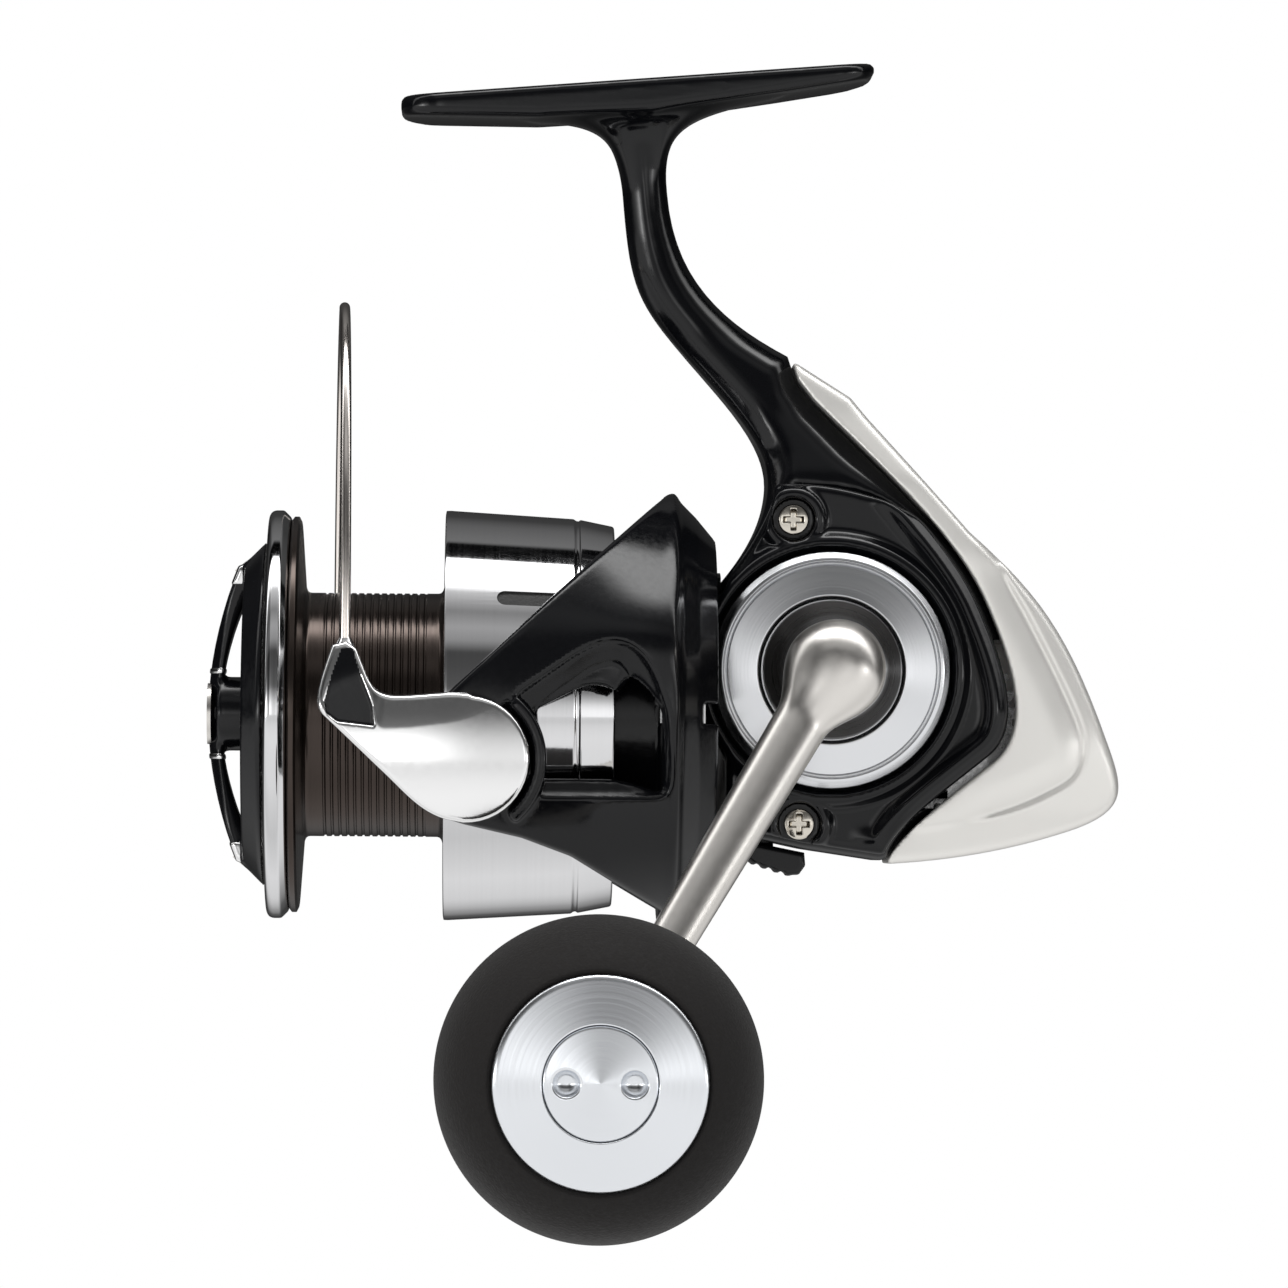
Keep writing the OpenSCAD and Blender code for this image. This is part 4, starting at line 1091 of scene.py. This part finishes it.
def rotor_field(x, y, z):
    r = radius(y, z)
    base = [
        (-36, 3.2), (-36, 6), (-33, 7), (-33, 19), (-32, 20), (-22.4, 20), (-22.2, 27),
        (-21.0, 28.6), (-20.3, 29.1), (-17.4, 26.2), (-14.9, 23.2), (-14.9, 21.6), (-20, 18.2),
        (-30.5, 18), (-30.5, 3.2),
    ]
    body = outline(base, x, r)
    side = outline(rotor_arm_points(), x, z)
    funnel = outline(recess_points(), x, z)
    sunk = 0.45 * step01(-funnel, 0, 0.5) + 0.8 * np.clip(-funnel, 0, 2.8)
    swell = 1.7 * np.exp(-(((x + 24) / 7.5) ** 2) - ((z - 10.5) / 6.0) ** 2)
    shell = both(r - rotor_r(x) - swell + sunk, 28.3 - r, 0.5)
    arms = both(both(side, shell, 0.7), 1 - np.abs(y))
    arms = both(arms, between(x, -56, -20.3))
    arms = less(arms, outline(window_points(), x, z), 0.35)
    outer = np.abs(y)
    boss = both(radius(x, z, PIVOT_X, PIVOT_Z) - 7.4, between(outer, 27.7, 32.6), 0.4)
    reach = radius(x, z, PIVOT_X, PIVOT_Z)
    facing = np.abs(np.arctan2(z - PIVOT_Z, x - PIVOT_X)) - math.radians(52)
    collar = both(between(reach, 8.6, 10.3), between(outer, 29, 32.8), 0.35)
    collar = both(collar, facing * 9, 0.4)
    whole = blend(body, arms, 1.4)
    whole = either(whole, boss, 0.6)
    whole = either(whole, collar, 0.5)
    whole = less(whole, reach - TRUNNION_R - 0.05)
    spring_room = both(radius(y, z, -27.1, -13.2) - 1.7, between(x, -43, -31.6))
    spring_room = both(spring_room, r - 30.0)
    lever_room = block(x, y, z, (-22.4, -25.2, -1.3), (-14, -19.8, 1.3))
    return less(less(whole, spring_room), lever_room)


def make_rotor():
    obj = skinned("rotor_shell", rotor_field, (-56.5, -34.5, -30), (-14.5, 34.5, 30), 0.42)
    finish(obj, "rotor", "gloss_black", "rotor_frame")


def bail_points():
    """Side view of the bail arm, with its round end at the pivot."""
    points = [(-62.6, 8.8), (-61.3, 7.9), (-60.2, 5.1)]
    points += curve((-60.2, 5.1), (-59.4, 3), (-58.5, 1.9), (-56, 1.9))
    points += curve((-56, 1.9), (-52, 2), (-50, 2.6), (-46.9, 2.2))
    for degrees in range(84, -100, -8):
        a = math.radians(degrees)
        points.append((PIVOT_X + BAIL_END_R * math.cos(a), PIVOT_Z + BAIL_END_R * math.sin(a)))
    points += curve((-49, -14), (-53, -13.2), (-55, -10.4), (-58.3, -7.4))
    points += [(-65.2, -0.9)]
    points += curve((-65.2, -0.9), (-67, 0.6), (-66.2, 3), (-64.4, 8.4))
    return points


def pocket_points():
    """Side view of the hollow between the two ridges of the arm's horn."""
    return [
        (-63.2, 7.8), (-64.4, 4.4), (-65.3, 1.0), (-65.0, -0.5), (-63.6, -1.5), (-59.0, -2.0),
        (-59.2, 0.5), (-60.1, 2.8), (-61.3, 6), (-61.7, 7.8),
    ]


def bail_field(x, y, z):
    side = outline(bail_points(), x, z)
    low_face = BAIL_FACE - 0.011 * (z + 5.5) ** 2 - 0.003 * (x - PIVOT_X) ** 2
    rise = np.maximum(z - bail_crease(x), 0)
    high_face = low_face - 0.09 * rise - 0.008 * rise**2
    horn = step01(-x, 57.5, 61.5)
    high_face = high_face * (1 - horn) + (BAIL_FACE - 0.3) * horn
    face = -y - np.minimum(low_face, high_face)
    arm = both(side, face, 0.55)
    pocket = outline(pocket_points(), x, z)
    arm = less(arm, both(pocket, y + POCKET_FLOOR), 0.25)
    arm = both(arm, y + BAIL_INNER, 0.2)
    arm = np.minimum(arm, bar_y(x, y, z, PIVOT_X, PIVOT_Z, -33.4, -29.5, TRUNNION_R))
    arm = less(arm, bar_y(x, y, z, ROLLER_X, ROLLER_Z, -34.2, -30, BOLT_HOLE_R))
    return less(arm, bar_y(x, y, z, PIVOT_X, PIVOT_Z, -33.8, -29, PIVOT_HOLE_R))


def make_bail_arm():
    obj = skinned("bail_arm_forged", bail_field, (-67, -37, -15), (-38.5, -29, 9.5), 0.2)
    finish(obj, "bail", "polished_alu", "bail_arm")
    # The horn's hollow gets painted shade: black material where the polished arm only lies in shade.
    paint_pocket_shade(obj)


def paint_pocket_shade(obj):
    """Gives the faces of the horn's hollow a second, black material: painted shade and painted dark
    reflection in the polished arm's hollow.
    """
    obj.data.materials.append(MATERIALS["gloss_black"])
    centres = np.empty(len(obj.data.polygons) * 3)
    obj.data.polygons.foreach_get("center", centres)
    centres = centres.reshape(-1, 3)
    x, y, z = (centres[:, 0] - AXLE_X) / MM, centres[:, 1] / MM, (centres[:, 2] - SHAFT_Z) / MM
    # Faces inside the pocket's outline and behind its rim take the black painted shade and painted
    # dark reflection.
    hollow = (outline(pocket_points(), x, z) < 0.03) & (y < -BAIL_INNER - 0.6)
    obj.data.polygons.foreach_set("material_index", hollow.astype(np.int32))


def holder_field(x, y, z):
    """Far arm of the bail, with the socket of the wire's far end."""
    points = [(-47, 1.4), (-56, 2.2)]
    points += curve((-56, 2.2), (-60, 2.6), (-61.6, 3.6), (-62, 5.8), 8)
    points += [(-66.2, 5.8), (-67.2, 3), (-66.6, -1), (-58.6, -7.2), (-50, -13)]
    plate = both(outline(points, x, z), between(y, 33, 36), 0.7)
    disc = both(radius(x, z, PIVOT_X, PIVOT_Z) - 7.5, between(y, 33, 36.2), 0.7)
    plate = blend(plate, disc, 1.2)
    socket = both(radius(x, y, WIRE_FAR_X, WIRE_HALF) - 1.9, between(z, 0, WIRE_END_Z + 0.6), 0.4)
    plate = blend(plate, socket, 1.0)
    plate = np.minimum(plate, bar_y(x, y, z, PIVOT_X, PIVOT_Z, 29.5, 33.3, TRUNNION_R))
    return less(plate, bar_y(x, y, z, PIVOT_X, PIVOT_Z, 28, 33.2, PIVOT_HOLE_R))


def wire_point(angle):
    """Centre of the bail wire, from its near end at 0 to its far end at pi."""
    c, s = math.cos(angle), math.sin(angle)
    return (
        WIRE_NEAR_X + (WIRE_FAR_X - WIRE_NEAR_X) * (1 - c) / 2,
        -WIRE_HALF * math.copysign(abs(c) ** (2 / WIRE_BOW), c),
        WIRE_END_Z + (WIRE_TOP - WIRE_END_Z) * abs(s) ** (2 / WIRE_BOW),
    )


def make_wire():
    count = 161
    path = [wire_point(math.pi * i / (count - 1)) for i in range(count)]
    finish(tube("bail_wire_bow", path, [WIRE_R] * count), "bail", "wire_alu", "bail_wire")
    x, y, z = path[0]
    sleeve = [(x, y, z + 0.2 * i) for i in range(-4, 9)]
    radii = [1.25] * 8 + [1.2, 1.1, 0.98, 0.86, 0.76]
    finish(tube("bail_wire_sleeve", sleeve, radii), "bail", "polished_alu")


def make_holder():
    obj = skinned("bail_holder_moulding", holder_field, (-68, 29, -15), (-39, 37, 9.5), 0.3)
    finish(obj, "bail", "gloss_black", "bail_holder")


def make_roller():
    profile = [
        (-32.6, 1.25), (-32.6, 3), (-31.9, 3), (-31.2, 2.4), (-30.4, 2.2), (-29.6, 2.4),
        (-28.9, 3), (-28.2, 3), (-28.2, 1.25),
    ]
    obj = turned("line_roller_wheel", profile, "y", (ROLLER_X, ROLLER_Z), 0.2, 96)
    finish(obj, "line_roller", "polished_alu", "line_roller")
    profile = [
        (-34.2, 0), (-34.2, 1.2), (-27.9, 1.2), (-27.9, 2.2), (-27.5, 2.2), (-27.2, 1.9), (-27.2, 0),
    ]
    obj = turned("roller_bolt_head", profile, "y", (ROLLER_X, ROLLER_Z), 0.15, 64)
    finish(obj, "bail", "screw_steel", "roller_bolt")


# ---------------------------------------------------------------- carried-over nodes

KEPT = {
    "steel_part": [
        "drive_bearing_left", "drive_bearing_right", "pinion_bearing_front", "pinion_bearing_rear",
        "one_way_clutch", "clutch_rollers", "clutch_sleeve", "clutch_retainer", "guide_rod",
        "oscillation_post", "oscillation_pinion", "handle_shaft", "knob_axle", "knob_bearings",
        "oscillation_gear", "main_shaft", "oscillation_slider", "spool_support", "spool_bearings",
        "click_pawl", "drag_nut", "bail_trip_lever", "drag_retainer",
    ],
    "screw_steel": ["clutch_screws", "knob_screw", "slider_screw", "rotor_nut", "bail_pivot_screws"],
    "brass_gear": ["drive_gear", "pinion_gear"],
    "spring_steel": ["drag_spring", "bail_spring"],
    "drag_felt": ["drag_washers"],
    "matt_black": ["line_clip", "bail_trip_ramp"],
    "satin_alu": ["drag_knob_plate"],
}


def dress_kept_nodes():
    for look, names in KEPT.items():
        for name in names:
            node = frame["nodes"][name]
            node.data.materials.clear()
            node.data.materials.append(MATERIALS[look])


# ---------------------------------------------------------------- stage, camera and light


def emitter(name, azimuth, elevation, distance, size, radiance, target=(-15, 0, 10)):
    """Rectangular soft light, seen from the reel at azimuth and elevation from the camera's side."""
    side, up = math.radians(azimuth), math.radians(elevation)
    away = Vector((math.sin(side) * math.cos(up), -math.cos(side) * math.cos(up), math.sin(up)))
    light = bpy.data.lights.new(name, "AREA")
    light.shape = "RECTANGLE"
    light.size, light.size_y = size
    light.energy = radiance * math.pi * size[0] * size[1]
    obj = bpy.data.objects.new(name, light)
    bpy.context.scene.collection.objects.link(obj)
    obj.location = Vector(in_row(*target)) + away * distance
    obj.rotation_euler = (-away).to_track_quat("-Z", "Y").to_euler()
    return obj


def ramp(tree, value, low, high, stops):
    """Grey level that follows stops of [value, grey]."""
    span = add(tree, "MapRange", {"From Min": low, "From Max": high, "Value": value})
    levels = add(tree, "ValToRGB", {"Fac": span.outputs["Result"]})
    elements = levels.color_ramp.elements
    while len(elements) < len(stops):
        elements.new(0.5)
    for element, (place, grey) in zip(elements, stops):
        element.position = (place - low) / (high - low)
        element.color = (grey, grey, grey, 1)
    return levels.outputs["Color"]


def turn_ramp(tree, angle, stops):
    """Grey level that follows stops of [degrees, grey]."""
    stops = [(math.radians(degrees), level) for degrees, level in stops]
    return ramp(tree, angle, -math.pi, math.pi, stops)


def mixed(tree, how, a, b):
    inputs = {"Factor": 1, "A": a, "B": b}
    return add(tree, "Mix", inputs, data_type="RGBA", blend_type=how).outputs["Result"]


def for_camera(tree, seen, otherwise, output):
    """Ends a tree in one shader for what the camera sees itself and one for all other rays."""
    path = add(tree, "LightPath").outputs["Is Camera Ray"]
    mix = add(tree, "MixShader", {"Fac": path, 1: otherwise.outputs[0], 2: seen.outputs[0]})
    add(tree, output, {"Surface": mix.outputs["Shader"]})


def make_world():
    world = bpy.data.worlds.new("studio")
    bpy.context.scene.world = world
    world.use_nodes = True
    tree = world.node_tree
    tree.nodes.clear()
    way = add(tree, "SeparateXYZ", {"Vector": add(tree, "TexCoord").outputs["Generated"]}).outputs
    forward = add(tree, "Math", {0: way["Y"], 1: -1}, operation="MULTIPLY").outputs["Value"]
    angle = add(tree, "Math", {0: way["Z"], 1: forward}, operation="ARCTAN2").outputs["Value"]
    round_shaft = turn_ramp(tree, angle, STUDIO)
    sideways = ramp(tree, way["X"], -1, 1, SIDE_FALL)
    flanks = ramp(tree, way["X"], -1, 1, FLANKS)
    level = turn_ramp(tree, angle, FLANK_RISE)
    main = mixed(tree, "MULTIPLY", round_shaft, sideways)
    grey = mixed(tree, "ADD", main, mixed(tree, "MULTIPLY", flanks, level))
    soft = add(tree, "Background", {"Color": grey, "Strength": STUDIO_PEAK})
    white = add(tree, "Background", {"Color": WHITE})
    for_camera(tree, white, soft, "OutputWorld")


def make_floor():
    z = (cad_low.z - SHAFT_Z) / MM - FLOOR_DROP
    signs = ((-1, -1), (1, -1), (1, 1), (-1, 1))
    corners = [in_row(i * FLOOR_HALF, j * FLOOR_HALF, z) for i, j in signs]
    mesh = bpy.data.meshes.new("floor")
    mesh.from_pydata(corners, [], [(0, 1, 2, 3)])
    floor = placed("floor", mesh)
    material = bpy.data.materials.new("pale_floor")
    material.use_nodes = True
    tree = material.node_tree
    tree.nodes.clear()
    spot = add(tree, "SeparateXYZ", {"Vector": add(tree, "TexCoord").outputs["Object"]})
    glow = add(tree, "Emission", {"Color": ramp(tree, spot.outputs["Y"], -1, 1, FLOOR_LEVELS)})
    white = add(tree, "Emission", {"Color": WHITE})
    for_camera(tree, white, glow, "OutputMaterial")
    mesh.materials.append(material)


# Light round the shaft: [degrees up from the camera's side, share of the brightest].
STUDIO_PEAK = 7.0
STUDIO = [
    (-180, 0.01), (-90, 0.08), (-20, 0.14), (-4, 0.12), (6, 0.08), (14, 0.014), (35, 0.01),
    (42, 0.05), (50, 0.065), (60, 0.04), (74, 0.11), (80, 0.4), (85, 1.0), (96, 0.85), (100, 0.0),
    (112, 0.0), (115, 0.03), (135, 0.02), (150, 0.008), (180, 0.004),
]
SIDE_FALL = [
    (-1, 0.2), (-0.7, 0.35), (-0.42, 0.35), (-0.28, 1.0), (0.35, 1.0), (0.6, 0.6), (1, 0.25),
]

# Side panels near the camera's level: brightness across, and its rise and fall with height.
FLANKS = [
    (-1, 0.05), (-0.93, 0.6), (-0.85, 1.6), (-0.76, 0.6), (-0.6, 0.06), (-0.32, 0.03), (-0.22, 0.2),
    (-0.1, 0.2), (0.0, 0.02), (0.14, 0.03), (0.28, 0.13), (0.42, 0.1), (0.6, 0.04), (0.8, 0.4),
    (0.87, 1.0), (0.94, 0.4), (1, 0.03),
]
FLANK_RISE = [
    (-180, 0.0), (-50, 0.0), (-14, 0.9), (3, 0.9), (9, 0.35), (16, 0.08), (26, 0.02), (60, 0.0),
    (180, 0.0),
]
# The floor's light on the reel: brightness from the camera's side to the far side, in metres.
FLOOR_DROP = 12.0
FLOOR_HALF = 3000.0
FLOOR_LEVELS = [
    (-1, 0.8), (-0.3, 1.0), (-0.1, 0.95), (-0.04, 0.75), (0.0, 0.95), (0.03, 0.85), (0.07, 0.4),
    (0.12, 0.12), (0.2, 0.05), (0.6, 0.05), (1, 0.05),
]


def make_lights():
    fill = emitter("fill", -46, 32, 0.8, (0.6, 0.6), 2.6)
    fill.visible_glossy = False


def make_camera():
    camera = bpy.data.cameras.new("camera")
    camera.lens = 212.4
    camera.sensor_width = 36.0
    camera.clip_start = 0.05
    camera.clip_end = 50
    obj = bpy.data.objects.new("camera", camera)
    bpy.context.scene.collection.objects.link(obj)
    here, there = Vector((-0.0175, -1.0, -0.101)), Vector((0.0014, 0.0, -0.0738))
    roll = Matrix.Rotation(math.radians(0.42), 4, "Z")
    aim = (there - here).to_track_quat("-Z", "Y").to_matrix().to_4x4()
    obj.matrix_world = Matrix.Translation(here) @ aim @ roll
    bpy.context.scene.camera = obj


make_camera()
make_world()
make_floor()
make_lights()
dress_kept_nodes()
make_body()
make_side_cover()
make_rear_cover()
make_cover_ring()
make_screws()
make_right_cap()
make_lever()
make_collar()
make_handle()
make_grip()
make_cap()
make_plug()
make_arbor()
make_lip()
make_skirt()
make_drag_knob()
make_rotor()
make_bail_arm()
make_wire()
make_holder()
make_roller()
bpy.context.scene.view_settings.view_transform = "Standard"

bpy.context.view_layer.update()
